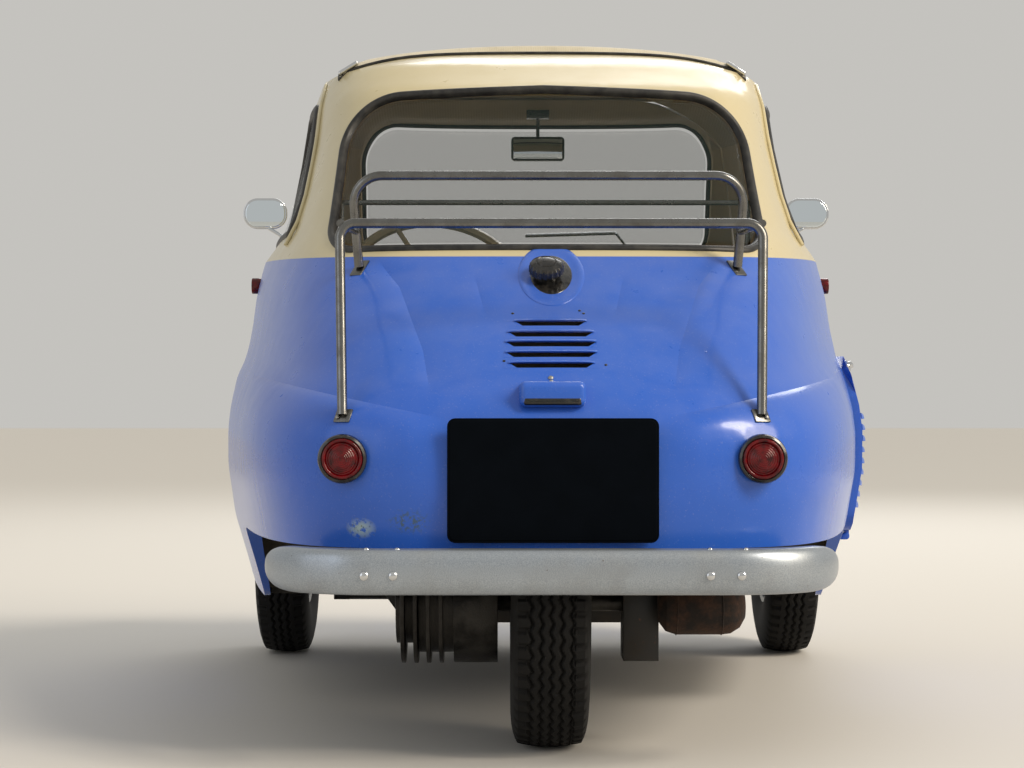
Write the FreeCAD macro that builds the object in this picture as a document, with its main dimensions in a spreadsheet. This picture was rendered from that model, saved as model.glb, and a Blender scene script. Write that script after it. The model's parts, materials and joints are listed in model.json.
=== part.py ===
import FreeCAD, Part
import math
import os

import Sketcher
from FreeCAD import Placement, Rotation, Vector

# A three-wheeled bubble car: two wheels in front, one behind, and a front wall that is the door.
# Millimetres. +X is the car's left, +Y its rear, +Z up, with the origin on the ground under the
# middle of its length. "Ahead" below always means the distance ahead of the rear axle.

doc = FreeCAD.newDocument("BubbleCar")
sheet = doc.addObject("Spreadsheet::Sheet", "Sizes")

SIZES = (
    # the whole car
    ("wheelbase", 1500),
    ("front_track", 1190),
    ("nose_reach", 365),        # nose ahead of the front axle
    ("tail_reach", 346),        # tail panel behind the rear axle
    ("bumper_reach", 420),      # back of the rear bumper behind the rear axle
    # walls, glass and seams
    ("wall", 26),
    ("seam", 6),                # gap round the door and the engine cover
    ("glass", 5),
    ("seal_lip", 13),           # half width of a window seal
    ("seal_stand", 7),          # height of a seal over the paint
    # wheels
    ("tyre_radius", 250),
    ("front_tyre_width", 122),
    ("rear_tyre_width", 135),
    ("bead_radius", 127),
    ("rim_wall", 6),
    ("axle_radius", 15),
    ("running_clearance", 0.05),
    ("seat_gap", 0.2),          # between a piece and what carries it
    # steering
    ("kingpin_offset", 60),     # kingpin inboard of the wheel's middle
    ("kingpin_radius", 11),
    ("steering_wheel_radius", 195),
    ("grip_radius", 11),
    ("column_radius", 19),
    # chassis
    ("rail_radius", 22),
    ("rail_height", 245),
    ("rail_spread", 250),
    ("floor_height", 216),
    ("floor_thickness", 12),
    # lamps, plate and rack
    ("plate_width", 340),
    ("plate_height", 200),
    ("plate_thickness", 4),
    ("tail_lamp_radius", 37),
    ("tail_lamp_depth", 26),
    ("headlamp_radius", 72),
    ("rack_tube", 8.3),
    ("bumper_height", 90),
    ("bumper_width", 923),
)


class Size(float):
    """A number that remembers the sheet's formula it comes from."""

    def __new__(cls, value, text=None):
        number = float.__new__(cls, value)
        number.text = text or repr(float(value))
        return number

    def joined(self, other, sign, value, swap=False):
        left, right = self.text, other.text if isinstance(other, Size) else repr(float(other))
        if swap:
            left, right = right, left
        return Size(value, "(%s %s %s)" % (left, sign, right))

    def __add__(self, other):
        return self.joined(other, "+", float(self) + float(other))

    def __radd__(self, other):
        return self.joined(other, "+", float(other) + float(self), swap=True)

    def __sub__(self, other):
        return self.joined(other, "-", float(self) - float(other))

    def __rsub__(self, other):
        return self.joined(other, "-", float(other) - float(self), swap=True)

    def __mul__(self, other):
        return self.joined(other, "*", float(self) * float(other))

    def __rmul__(self, other):
        return self.joined(other, "*", float(other) * float(self), swap=True)

    def __truediv__(self, other):
        return self.joined(other, "/", float(self) / float(other))

    def __neg__(self):
        return Size(-float(self), "(0 - %s)" % self.text)


class Sizes:
    """The sheet's values by name."""


S = Sizes()
for line, (alias, value) in enumerate(SIZES, start=1):
    sheet.set("A%d" % line, alias)
    sheet.set("B%d" % line, str(value))
    sheet.setAlias("B%d" % line, alias)
    setattr(S, alias, Size(value, "Sizes." + alias))
doc.recompute()

REAR_AXLE = (S.nose_reach + S.wheelbase + S.bumper_reach) / 2 - S.bumper_reach
FRONT_AXLE = REAR_AXLE - S.wheelbase


def ahead(distance):
    """Y of a point this far ahead of the rear axle."""
    return REAR_AXLE - distance


# Small tools for the document

def bind(thing, name, size):
    """Give a property a size, and the sheet's formula where it has one."""
    setattr(thing, name, float(size))
    if isinstance(size, Size) and "Sizes." in size.text:
        thing.setExpression(name, size.text)


def new_body(label):
    return doc.addObject("PartDesign::Body", label)


def place(thing, x=0, y=0, z=0, turn=None):
    """Put a sub-part where it belongs, its place bound to the sheet."""
    thing.Placement = Placement(Vector(x, y, z), turn or Rotation())
    for axis, size in (("x", x), ("y", y), ("z", z)):
        if isinstance(size, Size) and "Sizes." in size.text:
            thing.setExpression(".Placement.Base." + axis, size.text)
    return thing


def new_sketch(body, name, plane):
    sketch = body.newObject("Sketcher::SketchObject", name)
    support = [f for f in body.Origin.OriginFeatures if f.Role == plane][0]
    sketch.AttachmentSupport = (support, [""])
    sketch.MapMode = "FlatFace"
    return sketch


def pin_down(sketch, geometry, corner):
    """Bind a point of the sketch to its two coordinates."""
    for kind, size, axis in (("DistanceX", corner[0], -2), ("DistanceY", corner[1], -1)):
        if abs(float(size)) < 1e-9:
            sketch.addConstraint(Sketcher.Constraint("PointOnObject", geometry, 1, axis))
            continue
        first, second, length = (-1, 1), (geometry, 1), size
        if float(size) < 0:
            first, second, length = second, first, -size
        index = sketch.addConstraint(Sketcher.Constraint(kind, *first, *second, float(length)))
        if isinstance(length, Size) and "Sizes." in length.text:
            sketch.setExpression("Constraints[%d]" % index, length.text)


def rounding(before, corner, after, radius):
    """Ends and middle of the arc that rounds a corner, and whether it turns left."""
    back, on = (before - corner).normalize(), (after - corner).normalize()
    half = back.getAngle(on) / 2
    reach = radius / math.tan(half)
    centre = corner + (back + on).normalize() * (radius / math.sin(half))
    left = (corner - before).cross(after - corner).z > 0
    return corner + back * reach, centre, corner + on * reach, left


def outline(sketch, corners):
    """A closed outline of straight edges. A corner with a third value is rounded by it."""
    points = [Vector(float(c[0]), float(c[1]), 0) for c in corners]
    count = len(points)
    cuts = []
    for i, corner in enumerate(corners):
        if len(corner) > 2:
            cuts.append(rounding(points[i - 1], points[i], points[(i + 1) % count], float(corner[2])))
        else:
            cuts.append((points[i], None, points[i], True))
    for i in range(count):
        sketch.addGeometry(Part.LineSegment(cuts[i][2], cuts[(i + 1) % count][0]))
    for i, corner in enumerate(corners):
        start, centre, end, left = cuts[i]
        before, after = (i - 1) % count, i
        if centre is None:
            sketch.addConstraint(Sketcher.Constraint("Coincident", before, 2, after, 1))
            pin_down(sketch, after, corner)
            continue
        first, last = (start, end) if left else (end, start)
        circle = Part.Circle(centre, Vector(0, 0, 1), float(corner[2]))
        turns = [math.atan2(p.y - centre.y, p.x - centre.x) for p in (first, last)]
        arc = sketch.addGeometry(Part.ArcOfCircle(circle, *turns))
        near, far = (1, 2) if left else (2, 1)
        sketch.addConstraint(Sketcher.Constraint("Tangent", before, 2, arc, near))
        sketch.addConstraint(Sketcher.Constraint("Tangent", arc, far, after, 1))
        index = sketch.addConstraint(Sketcher.Constraint("Radius", arc, float(corner[2])))
        if isinstance(corner[2], Size) and "Sizes." in corner[2].text:
            sketch.setExpression("Constraints[%d]" % index, corner[2].text)
        point = sketch.addGeometry(Part.Point(points[i]), True)
        sketch.addConstraint(Sketcher.Constraint("PointOnObject", point, 1, before))
        sketch.addConstraint(Sketcher.Constraint("PointOnObject", point, 1, after))
        pin_down(sketch, point, corner)
    return sketch


def pad(body, sketch, length, both_ways=False, backward=False):
    feature = body.newObject("PartDesign::Pad", sketch.Name + "_pad")
    feature.Profile = sketch
    bind(feature, "Length", length)
    feature.SideType = "Symmetric" if both_ways else "One side"
    feature.Reversed = backward
    return feature


def turned(body, sketch, axis):
    """A solid of revolution about the sketch's own H_Axis or V_Axis."""
    feature = body.newObject("PartDesign::Revolution", sketch.Name + "_turned")
    feature.Profile = sketch
    feature.ReferenceAxis = (sketch, [axis])
    feature.Angle = 360
    return feature


def repeated(body, feature, count, axis, sketch):
    """The feature repeated round the sketch's normal or one of its axes."""
    pattern = body.newObject("PartDesign::PolarPattern", feature.Name + "_ring")
    pattern.Originals = [feature]
    pattern.Axis = (sketch, [axis])
    pattern.Angle = 360
    pattern.Occurrences = count
    body.Tip = pattern
    return pattern


def shaped(label, shape):
    """A sub-part whose shape comes from Part's own functions."""
    feature = doc.addObject("Part::Feature", label)
    feature.Shape = shape
    feature.Placement = Placement()
    return feature


# The egg that every outer panel is cut from

# Each row is one level of the control net of the half body: heights at the rear, side and front,
# how far the row is set in from the tail and set back from the nose, the half widths of its four
# side poles from rear to front, and how square its front corner is.
LEVELS = (
    # rear, side, front, tail in, nose back, rear corner, rear quarter, front quarter, front corner, square
    (200, 200, 200, 46, 125, 400, 505, 640, 680, 1.0),
    (330, 330, 330, 10, 40, 460, 566, 690, 715, 1.0),
    (480, 490, 485, 0, 0, 483, 602, 713, 725, 1.0),
    (560, 605, 580, 10, 0, 462, 588, 698, 712, 1.0),
    (600, 655, 640, 38, 14, 420, 577, 691, 685, 0.8),
    (635, 695, 700, 71, 37, 395, 558, 666, 635, 0.4),
    (700, 745, 775, 141, 67, 402, 555, 656, 600, 0),
    (800, 825, 850, 284, 113, 417, 556, 649, 585, 0),
    (885, 902, 905, 406, 150, 422, 550, 637, 566, 0),
    (922, 925, 925, 451, 167, 411, 520, 598, 545, 0),
    (1010, 1010, 1010, 551, 215, 402, 502, 569, 512, 0),
    (1120, 1120, 1120, 671, 290, 390, 483, 539, 478, 0),
    (1215, 1215, 1215, 771, 385, 383, 471, 520, 452, 0),
    (1282, 1268, 1275, 891, 520, 388, 475, 500, 421, 0),
    (1313, 1305, 1308, 1010, 660, 337, 425, 437, 360, 0),
    (1345, 1345, 1345, 1130, 800, 250, 330, 340, 270, 0),
)
LOW_BANDS = 2                   # the lowest bands, halved to follow the curve into the sill
FOOT = 60                       # how far an inner wall runs on below the lowest level
ROOF_HEIGHT = 1326
ROOF_ARCH = 2500                # radius of the roof across the car


def body_net():
    """Control points of the left half, row by row from rear to front."""
    net = []
    for rear, side, front, tail, nose, corner, quarter, fore, cheek, square in LEVELS:
        back = float(REAR_AXLE + S.tail_reach - tail)
        face = float(FRONT_AXLE - S.nose_reach + nose)
        length = face - back
        net.append([
            Vector(0, back, rear),
            Vector(0.58 * corner, back, rear),
            Vector(corner, back + 0.03 * length, (2 * rear + side) / 3),
            Vector(quarter, back + 0.30 * length, side),
            Vector(fore, back + 0.66 * length, side),
            Vector(cheek, back + (0.96 + 0.03 * square) * length, (side + front) / 2),
            Vector(cheek * (0.5 + 0.3 * square), face, front),
            Vector(0, face, front),
        ])
    return net


def sunk_net(net, depth):
    """The net moved inwards along its own normals, and run on downwards."""
    rows, columns = len(net), len(net[0])
    sunk = []
    for i in range(rows):
        normals = []
        for j in range(columns):
            up = net[min(i + 1, rows - 1)][j] - net[max(i - 1, 0)][j]
            along = net[i][min(j + 1, columns - 1)] - net[i][max(j - 1, 0)]
            normal = up.cross(along)
            if j in (0, columns - 1):
                normal.x = 0
            if i == rows - 1:
                normal = Vector(0, 0, 1)
            normals.append(normal.normalize())
        normals[1] = Vector(normals[0])
        normals[-2] = Vector(normals[-1])
        sunk.append([p - n * depth for p, n in zip(net[i], normals)])
    for j, point in enumerate(sunk[0]):
        point.z = net[0][j].z
    if depth > 0:
        sunk.insert(0, [Vector(p.x, p.y, p.z - FOOT) for p in sunk[0]])
    return sunk


def knots(count):
    spans = count - 3
    return [4] + [1] * (spans - 1) + [4], [i / spans for i in range(spans + 1)]


def half_skin(net, side, coarse=False):
    """One half of the skin: level lines of a cubic surface over the net, ruled together in bands."""
    poles = [[Vector(side * p.x, p.y, p.z) for p in row] for row in net]
    row_mults, row_knots = knots(len(net))
    column_mults, column_knots = knots(len(net[0]))
    surface = Part.BSplineSurface()
    surface.buildFromPolesMultsKnots(
        poles, row_mults, column_mults, row_knots, column_knots, False, False, 3, 3)
    levels = row_knots[:-1:2] + row_knots[-1:] if coarse else row_knots
    levels = sorted(levels + [(low + high) / 2 for low, high in list(zip(levels, levels[1:]))[:LOW_BANDS]])
    lines = [surface.uIso(level).toShape() for level in levels]
    return [Part.makeRuledSurface(low, high) for low, high in zip(lines, lines[1:])]


def level_cap(halves, height):
    """The flat face that closes the skin at one height."""
    edges = []
    for face in halves:
        for edge in face.Edges:
            if all(abs(edge.valueAt(t).z - height) < 1e-6 for t in edge.ParameterRange) and edge.Length > 300:
                edges.append(edge)
    return Part.Face(Part.Wire(Part.sortEdges(edges)[0]))


def roof_slab(depth):
    """Everything below the arched roof, lowered by the depth."""
    radius = ROOF_ARCH
    long_side = 4000
    arch = Part.makeCylinder(radius, long_side, Vector(0, -long_side / 2, ROOF_HEIGHT - depth - radius),
                             Vector(0, 1, 0))
    return arch


def egg(depth=0, coarse=False):
    """The closed body form, sunk by the depth all round."""
    net = sunk_net(body_net(), depth) if depth else body_net()
    halves = half_skin(net, 1, coarse) + half_skin(net, -1, coarse)
    caps = [level_cap(halves, net[0][0].z), level_cap(halves, net[-1][0].z)]
    shell = Part.makeShell(halves + caps)
    shell.sewShape()
    return Part.makeSolid(shell).common(roof_slab(depth))


OUTER = egg()
INNER = egg(S.wall, coarse=True)


def ray_hit(start, end, last=False):
    """Where a straight line first (or last) meets the outer skin."""
    points = []
    for aside in (0, 0.13, 0.29):
        shift = Vector(aside, aside, aside / 2)
        inside = Part.makeLine(start + shift, end + shift).common(OUTER)
        points = points or [v.Point for v in inside.Vertexes]
    points.sort(key=lambda p: (p - start).Length)
    return points[-1] if last else points[0]


def tail_y(x, z):
    """Y of the tail's skin at this place."""
    return ray_hit(Vector(x, 3000, z), Vector(x, float(ahead(700)), z)).y


def nose_y(x, z):
    """Y of the nose's skin at this place."""
    return ray_hit(Vector(x, -3000, z), Vector(x, float(ahead(700)), z)).y


def flank_x(y, z):
    """Half width of the body at this place."""
    return ray_hit(Vector(2000, y, z), Vector(0, y, z)).x


# Outlines and cutters

def rounded_wire(corners, to_space):
    """A closed wire from (a, b) or (a, b, radius) corners, put in space by a function."""
    points = [Vector(float(c[0]), float(c[1]), 0) for c in corners]
    count = len(points)
    cuts = []
    for i, corner in enumerate(corners):
        if len(corner) > 2 and corner[2]:
            cuts.append(rounding(points[i - 1], points[i], points[(i + 1) % count], float(corner[2])))
        else:
            cuts.append((points[i], None, points[i], True))
    edges = []
    for i in range(count):
        start, centre, end, left = cuts[i]
        if centre is not None:
            middle = centre + (points[i] - centre).normalize() * float(corners[i][2])
            edges.append(Part.Arc(to_space(start), to_space(middle), to_space(end)).toShape())
        following = cuts[(i + 1) % count][0]
        if (following - end).Length > 1e-6:
            edges.append(Part.makeLine(to_space(end), to_space(following)))
    return Part.Wire(edges)


def grown(corners, by):
    """The same convex outline pushed out by a distance, with its corner radii grown too."""
    points = [Vector(float(c[0]), float(c[1]), 0) for c in corners]
    count = len(points)
    area = sum(points[i - 1].x * points[i].y - points[i].x * points[i - 1].y for i in range(count))
    turn = 1 if area > 0 else -1
    result = []
    for i in range(count):
        first = (points[i] - points[i - 1]).normalize()
        second = (points[(i + 1) % count] - points[i]).normalize()
        out_first = Vector(first.y, -first.x, 0) * turn
        out_second = Vector(second.y, -second.x, 0) * turn
        spread = (out_first + out_second) / (1 + out_first.dot(out_second))
        moved = points[i] + spread * by
        radius = corners[i][2] if len(corners[i]) > 2 else 0
        result.append((moved.x, moved.y, max(radius + by, 2) if radius else 0))
    return result


def seen_from_behind(low, high):
    """Maps (x, z) to space, and gives the way to extrude, for a cut along the car."""
    return (lambda p: Vector(p.x, low, p.y)), Vector(0, high - low, 0)


def seen_from_side(low, high):
    """Maps (distance ahead, z) to space for a cut across the car, from x low to x high."""
    return (lambda p: Vector(low, float(ahead(p.x)), p.y)), Vector(high - low, 0, 0)


def cutter(corners, view):
    to_space, way = view
    return Part.Face(rounded_wire(corners, to_space)).extrude(way)


def mirrored(shape):
    return shape.mirror(Vector(0, 0, 0), Vector(1, 0, 0))


WAIST_AT_AXLE = 857             # the paint line over the rear axle
WAIST_RISE = 0.045              # and its rise towards the front
FAR = 3000


def above_waist():
    """Everything above the line where the two colours meet."""
    box = Part.makeBox(2 * FAR, 2 * FAR, FAR, Vector(-FAR, -FAR, 0))
    box.rotate(Vector(0, 0, 0), Vector(1, 0, 0), -math.degrees(math.atan(WAIST_RISE)))
    box.translate(Vector(0, float(REAR_AXLE), WAIST_AT_AXLE))
    return box


REAR_VIEW = seen_from_behind(float(ahead(750)), FAR)
FRONT_VIEW = seen_from_behind(float(ahead(1000)), -FAR)

# Window outlines at the paint's edge: across or ahead, height, corner radius
REAR_WINDOW = (
    (-398, 876, 45), (398, 876, 45), (384, 1192, 120), (0, 1208, 3000), (-384, 1192, 120))
SIDE_WINDOW = ((505, 938, 35), (1185, 938, 40), (985, 1215, 55), (770, 1215, 60))
WINDSCREEN = ((-424, 948, 60), (424, 948, 60), (413, 1250, 95), (-413, 1250, 95))

# The door turns on an upright axis at its left front edge
HINGE_X = 500
HINGE_AHEAD = 1846
HINGE_LEVELS = (390, 700)
DOOR_FOOT = 285
DOOR_HEAD = 1283
DOOR_REACH = ((955, DOOR_FOOT, 110), (1068, DOOR_HEAD, 85))   # its free edge: radius, height, rounding
DOOR_EDGE = ((470, DOOR_FOOT, 110), (488, 800), (452, DOOR_HEAD, 85))   # its hinge edge, seen from ahead


def door_region(gap=0):
    """The space that the door fills, grown by the gap: turned about the hinge, so it always clears."""
    foot, head = DOOR_FOOT - gap, DOOR_HEAD + gap
    near, far = DOOR_REACH
    profile = [(0, foot), (near[0] + gap, foot, near[2]), (far[0] + gap, head, far[2]), (0, head)]
    axis_y = float(ahead(HINGE_AHEAD))
    wire = rounded_wire(profile, lambda p: Vector(HINGE_X - p.x, axis_y, p.y))
    turned_solid = Part.Face(wire).revolve(Vector(HINGE_X, axis_y, 0), Vector(0, 0, 1), 360)
    low, middle, high = DOOR_EDGE
    edge = [(-FAR / 2, foot), (low[0] + gap, foot, low[2]), (middle[0] + gap, middle[1]),
            (high[0] + gap, head, high[2]), (-FAR / 2, head)]
    slab = cutter(edge, seen_from_behind(float(ahead(1100)), float(ahead(2600))))
    return turned_solid.common(slab)


COVER = ((520, 344, 45), (1000, 344, 45), (1000, 692, 85), (520, 692, 85))   # engine cover, ahead and height
COVER_STAND = 14                # how proud of the side it stands
COVER_DEPTH = 10
COVER_VIEW = seen_from_side(-200, -FAR)
COVER_HINGES = (620, 900)       # its two hinges, distance ahead
COVER_HINGE_LEVEL = 330
COVER_HINGE_STAND = 10

ARCH_CENTRE = 245
ARCH_RADIUS = 285
ARCH_INNER = 398                # the wheel houses start this far from the middle
UNDERSIDE = ((-900, 365), (330, 365, 120), (560, 212, 120), (2400, 212), (2400, -300), (-900, -300))


SPRING_X = -160                 # the rear spring and damper
SPRING_AHEAD = 40


def wheel_house(side):
    return Part.makeCylinder(ARCH_RADIUS, FAR, Vector(side * ARCH_INNER, float(FRONT_AXLE), ARCH_CENTRE),
                             Vector(side, 0, 0))


FILLER_AT = (0, 822)
FILLER_BOWL = 47
FILLER_HOLE = 30
LOUVRE_LEVELS = (734, 715, 698, 680, 662)
LOUVRE_WIDTH = 150
LOUVRE_SLOT = 7


LINER = 14                      # thickness of the inner arches


def louvre_slots():
    slots = []
    for level in LOUVRE_LEVELS:
        half = LOUVRE_WIDTH / 2
        corners = ((-half, level - LOUVRE_SLOT / 2, 3), (half, level - LOUVRE_SLOT / 2, 3),
                   (half, level + LOUVRE_SLOT / 2, 3), (-half, level + LOUVRE_SLOT / 2, 3))
        slots.append(cutter(corners, seen_from_behind(float(REAR_AXLE - 300), FAR)))
    return slots


def wheel_liner(side):
    """The inner arch over a front wheel, which also carries the sill under the door."""
    x, y = ARCH_INNER - LINER, float(FRONT_AXLE)
    drum = Part.makeCylinder(ARCH_RADIUS + LINER, FAR, Vector(side * x, y, ARCH_CENTRE), Vector(side, 0, 0))
    lip = block((-FAR, y - 400, float(S.floor_height) - 4), (FAR, y + 400, 700))
    return drum.cut(wheel_house(side)).common(egg(2)).common(lip)


def filler_bowl():
    """The dish round the filler cap."""
    x, z = FILLER_AT
    y = tail_y(x, z - FILLER_BOWL) - 4
    bowl = rod((x, y - 44, z), (x, y + 20, z), FILLER_BOWL)
    return bowl.cut(rod((x, y - 38, z), (x, y + 30, z), FILLER_BOWL - 5)).common(OUTER)


def body_panels():
    """The fixed shell, split at the paint line, and the door's two halves."""
    shell = OUTER.cut(INNER)
    cuts = [door_region(float(S.seam)), cutter(UNDERSIDE, seen_from_side(-FAR, FAR))]
    cuts += [wheel_house(1), wheel_house(-1)]
    cuts += [cutter(REAR_WINDOW, REAR_VIEW), cutter(SIDE_WINDOW, seen_from_side(-FAR, FAR))]
    cuts.append(cutter(grown(COVER, float(S.seam)), COVER_VIEW))
    cuts += louvre_slots()
    cuts.append(rod((FILLER_AT[0], REAR_AXLE - 200, FILLER_AT[1]), (FILLER_AT[0], REAR_AXLE + 400, FILLER_AT[1]),
                    FILLER_BOWL - 5))
    sunroof_hole = [(-345, 700, 40), (345, 700, 40), (345, 1150, 40), (-345, 1150, 40)]
    cuts.append(cutter(sunroof_hole, ((lambda p: Vector(p.x, float(ahead(p.y)), 1200)), Vector(0, 0, 400))))
    fixed = shell
    for tool in cuts:
        fixed = fixed.cut(tool)
    gap = float(S.seam)
    door_space = door_region(gap).cut(egg(S.wall + gap, coarse=True))
    liners = [wheel_liner(side).cut(door_space) for side in (1, -1)]
    door = shell.common(door_region())
    door = door.cut(cutter(WINDSCREEN, FRONT_VIEW))
    door = door.cut(wheel_house(1)).cut(wheel_house(-1))
    top = above_waist()
    shaped("body_lower", biggest(fused(fixed.cut(top), filler_bowl(), *liners)))
    shaped("cabin_upper", fixed.common(top))
    shaped("door_lower", door.cut(top))
    shaped("door_upper", door.common(top))


def window(label, corners, view, both_sides=False):
    """A pane set in its rubber: an H-shaped seal that grips panel and glass."""
    lip = float(S.seal_lip)
    outer, inner = cutter(grown(corners, lip), view), cutter(grown(corners, -lip), view)
    hole = cutter(corners, view)
    proud = egg(-S.seal_stand)
    sunk = egg(S.wall + 4)
    skin = proud.cut(sunk)
    ring = skin.common(outer).cut(inner)
    panel_edge = OUTER.cut(INNER).cut(hole)
    seal = ring.cut(panel_edge)
    pane = egg(2).cut(egg(2 + S.glass)).common(inner)
    if both_sides:
        seal = Part.makeCompound([seal, mirrored(seal)])
        pane = Part.makeCompound([pane, mirrored(pane)])
    shaped(label + "_seal" + ("s" if both_sides else ""), seal)
    shaped(label + ("s" if both_sides else ""), pane)


def sunroof():
    """A fabric roof over the hole in the roof panel, arched as the roof is."""
    half, rise = 415, 12
    body = new_body("sunroof")
    sketch = new_sketch(body, "sunroof_section", "XZ_Plane")
    centre = ROOF_HEIGHT - ROOF_ARCH
    turn = math.asin(half / (ROOF_ARCH + rise))
    low = Part.Arc(*[Vector((ROOF_ARCH + 0.3) * math.sin(a), centre + (ROOF_ARCH + 0.3) * math.cos(a), 0)
                     for a in (-turn, 0, turn)])
    high = Part.Arc(*[Vector((ROOF_ARCH + rise) * math.sin(a), centre + (ROOF_ARCH + rise) * math.cos(a), 0)
                      for a in (-turn, 0, turn)])
    sketch.addGeometry(low)
    sketch.addGeometry(high)
    sketch.addGeometry(Part.LineSegment(low.StartPoint, high.StartPoint))
    sketch.addGeometry(Part.LineSegment(low.EndPoint, high.EndPoint))
    pad(body, sketch, 520, both_ways=True)
    place(body, 0, ahead(925), 0)


def cover_hinge_points():
    """The two hinges' middles, on a straight line just outside the skin."""
    points = []
    for distance in COVER_HINGES:
        y = float(ahead(distance))
        points.append(Vector(-flank_x(y, COVER_HINGE_LEVEL) - COVER_HINGE_STAND, y, COVER_HINGE_LEVEL))
    return points


def engine_cover():
    """The panel over the engine, on the right side, with its two hinges below it."""
    proud, sunk = egg(-COVER_STAND), egg(COVER_DEPTH)
    panel = proud.cut(sunk).common(cutter(COVER, COVER_VIEW))
    rear, front = cover_hinge_points()
    way = rear - front
    turn = Rotation(Vector(0, 1, 0), way)
    ears = []
    for point in (rear, front):
        def local(low, high):
            piece = block(low, high)
            piece.Placement = Placement(point, turn).multiply(piece.Placement)
            return piece

        def barrel(radius, low, high):
            piece = Part.makeCylinder(radius, high - low, Vector(0, low, 0), Vector(0, 1, 0))
            piece.Placement = Placement(point, turn).multiply(piece.Placement)
            return piece

        eye = barrel(7, -14, 14).fuse(local((-6, -14, 0), (5, 14, 22)))
        panel = panel.fuse(eye).cut(barrel(4 + float(S.running_clearance), -15, 15))
        ear = barrel(4, -24, 24)
        for end in (-24, 15):
            ear = ear.fuse(barrel(7, end, end + 9)).fuse(local((0, end, -7), (40, end + 9, 4)))
        ears.append(biggest(ear.cut(OUTER)))
    shaped("engine_cover", biggest(panel.removeSplitter()))
    shaped("cover_hinges", Part.makeCompound([e.removeSplitter() for e in ears]))


def floor_and_bulkhead():
    """The cabin floor, and the wall and shelf that close off the engine."""
    inside = egg(S.wall + S.seat_gap)
    low = float(S.floor_height)
    slab = Part.makeBox(2 * FAR, 1130, float(S.floor_thickness), Vector(-FAR, float(ahead(1718)), low))
    floor = inside.common(slab)
    for side in (1, -1):
        x, rim_line = ARCH_INNER - LINER - float(S.seat_gap), ARCH_RADIUS + LINER + float(S.seat_gap)
        floor = floor.cut(Part.makeCylinder(rim_line, FAR, Vector(side * x, float(FRONT_AXLE), ARCH_CENTRE),
                                            Vector(side, 0, 0)))
    top = low + float(S.floor_thickness)
    for side in (1, -1):
        floor = floor.fuse(block((side * 330 - 20, ahead(1000), top - 2), (side * 330 + 20, ahead(660), 290)))
    shaped("floor_pan", floor.removeSplitter())
    wall_at, shelf_at, thick = 600, 812, 12
    wall = Part.makeBox(2 * FAR, thick, shelf_at - top - float(S.seat_gap),
                        Vector(-FAR, float(ahead(wall_at)), top + float(S.seat_gap)))
    shelf = Part.makeBox(2 * FAR, wall_at + 200, thick, Vector(-FAR, float(ahead(wall_at)), shelf_at))
    within_shell = egg(S.wall + S.seat_gap, coarse=True)
    shaped("bulkhead", within_shell.common(wall.fuse(shelf)).removeSplitter())


def tube(points, radius, bend):
    """A round tube along straight runs joined by bends."""
    corners = [Vector(*[float(v) for v in p]) for p in points]
    edges = []
    start = corners[0]
    for i in range(1, len(corners) - 1):
        back = (corners[i - 1] - corners[i]).normalize()
        on = (corners[i + 1] - corners[i]).normalize()
        half = back.getAngle(on) / 2
        reach = bend / math.tan(half)
        first, last = corners[i] + back * reach, corners[i] + on * reach
        middle = corners[i] + (back + on).normalize() * (bend / math.sin(half) - bend)
        edges.append(Part.makeLine(start, first))
        edges.append(Part.Arc(first, middle, last).toShape())
        start = last
    edges.append(Part.makeLine(start, corners[-1]))
    path = Part.Wire(edges)
    ring = Part.Wire(Part.makeCircle(float(radius), corners[0], corners[1] - corners[0]))
    return path.makePipeShell([ring], True, False)


def rod(start, end, radius):
    start, end = Vector(*[float(v) for v in start]), Vector(*[float(v) for v in end])
    return Part.makeCylinder(float(radius), (end - start).Length, start, end - start)


def block(low, high):
    """A box between two corners."""
    low, high = [float(v) for v in low], [float(v) for v in high]
    return Part.makeBox(*[b - a for a, b in zip(low, high)], Vector(*low))


def fused(first, *others):
    solid = first
    for other in others:
        solid = solid.fuse(other)
    return solid.removeSplitter()


def box_rail(points, half_wide, half_high):
    """A rectangular tube along points at one side of the car, its corners mitred."""
    low = [Vector(x, float(ahead(f)), z - half_high) for x, f, z in points]
    faces = []
    for shift in (-half_wide, half_wide):
        under = [p + Vector(shift, 0, 0) for p in low]
        over = [p + Vector(0, 0, 2 * half_high) for p in under]
        faces.append((under, over))
    (a, b), (c, d) = faces
    solid = None
    for i in range(len(points) - 1):
        ring = [[a[k], c[k], d[k], b[k]] for k in (i, i + 1)]
        sides = [Part.Face(Part.makePolygon(r + r[:1])) for r in ring]
        for j in range(4):
            n = (j + 1) % 4
            for corners in ((ring[0][j], ring[0][n], ring[1][n]), (ring[0][j], ring[1][n], ring[1][j])):
                sides.append(Part.Face(Part.makePolygon(list(corners) + [corners[0]])))
        piece = Part.makeSolid(Part.makeShell(sides))
        solid = piece if solid is None else solid.fuse(piece)
    return solid.removeSplitter()


RAIL_TAIL = 285                 # how far the rails run on behind the rear axle


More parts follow.
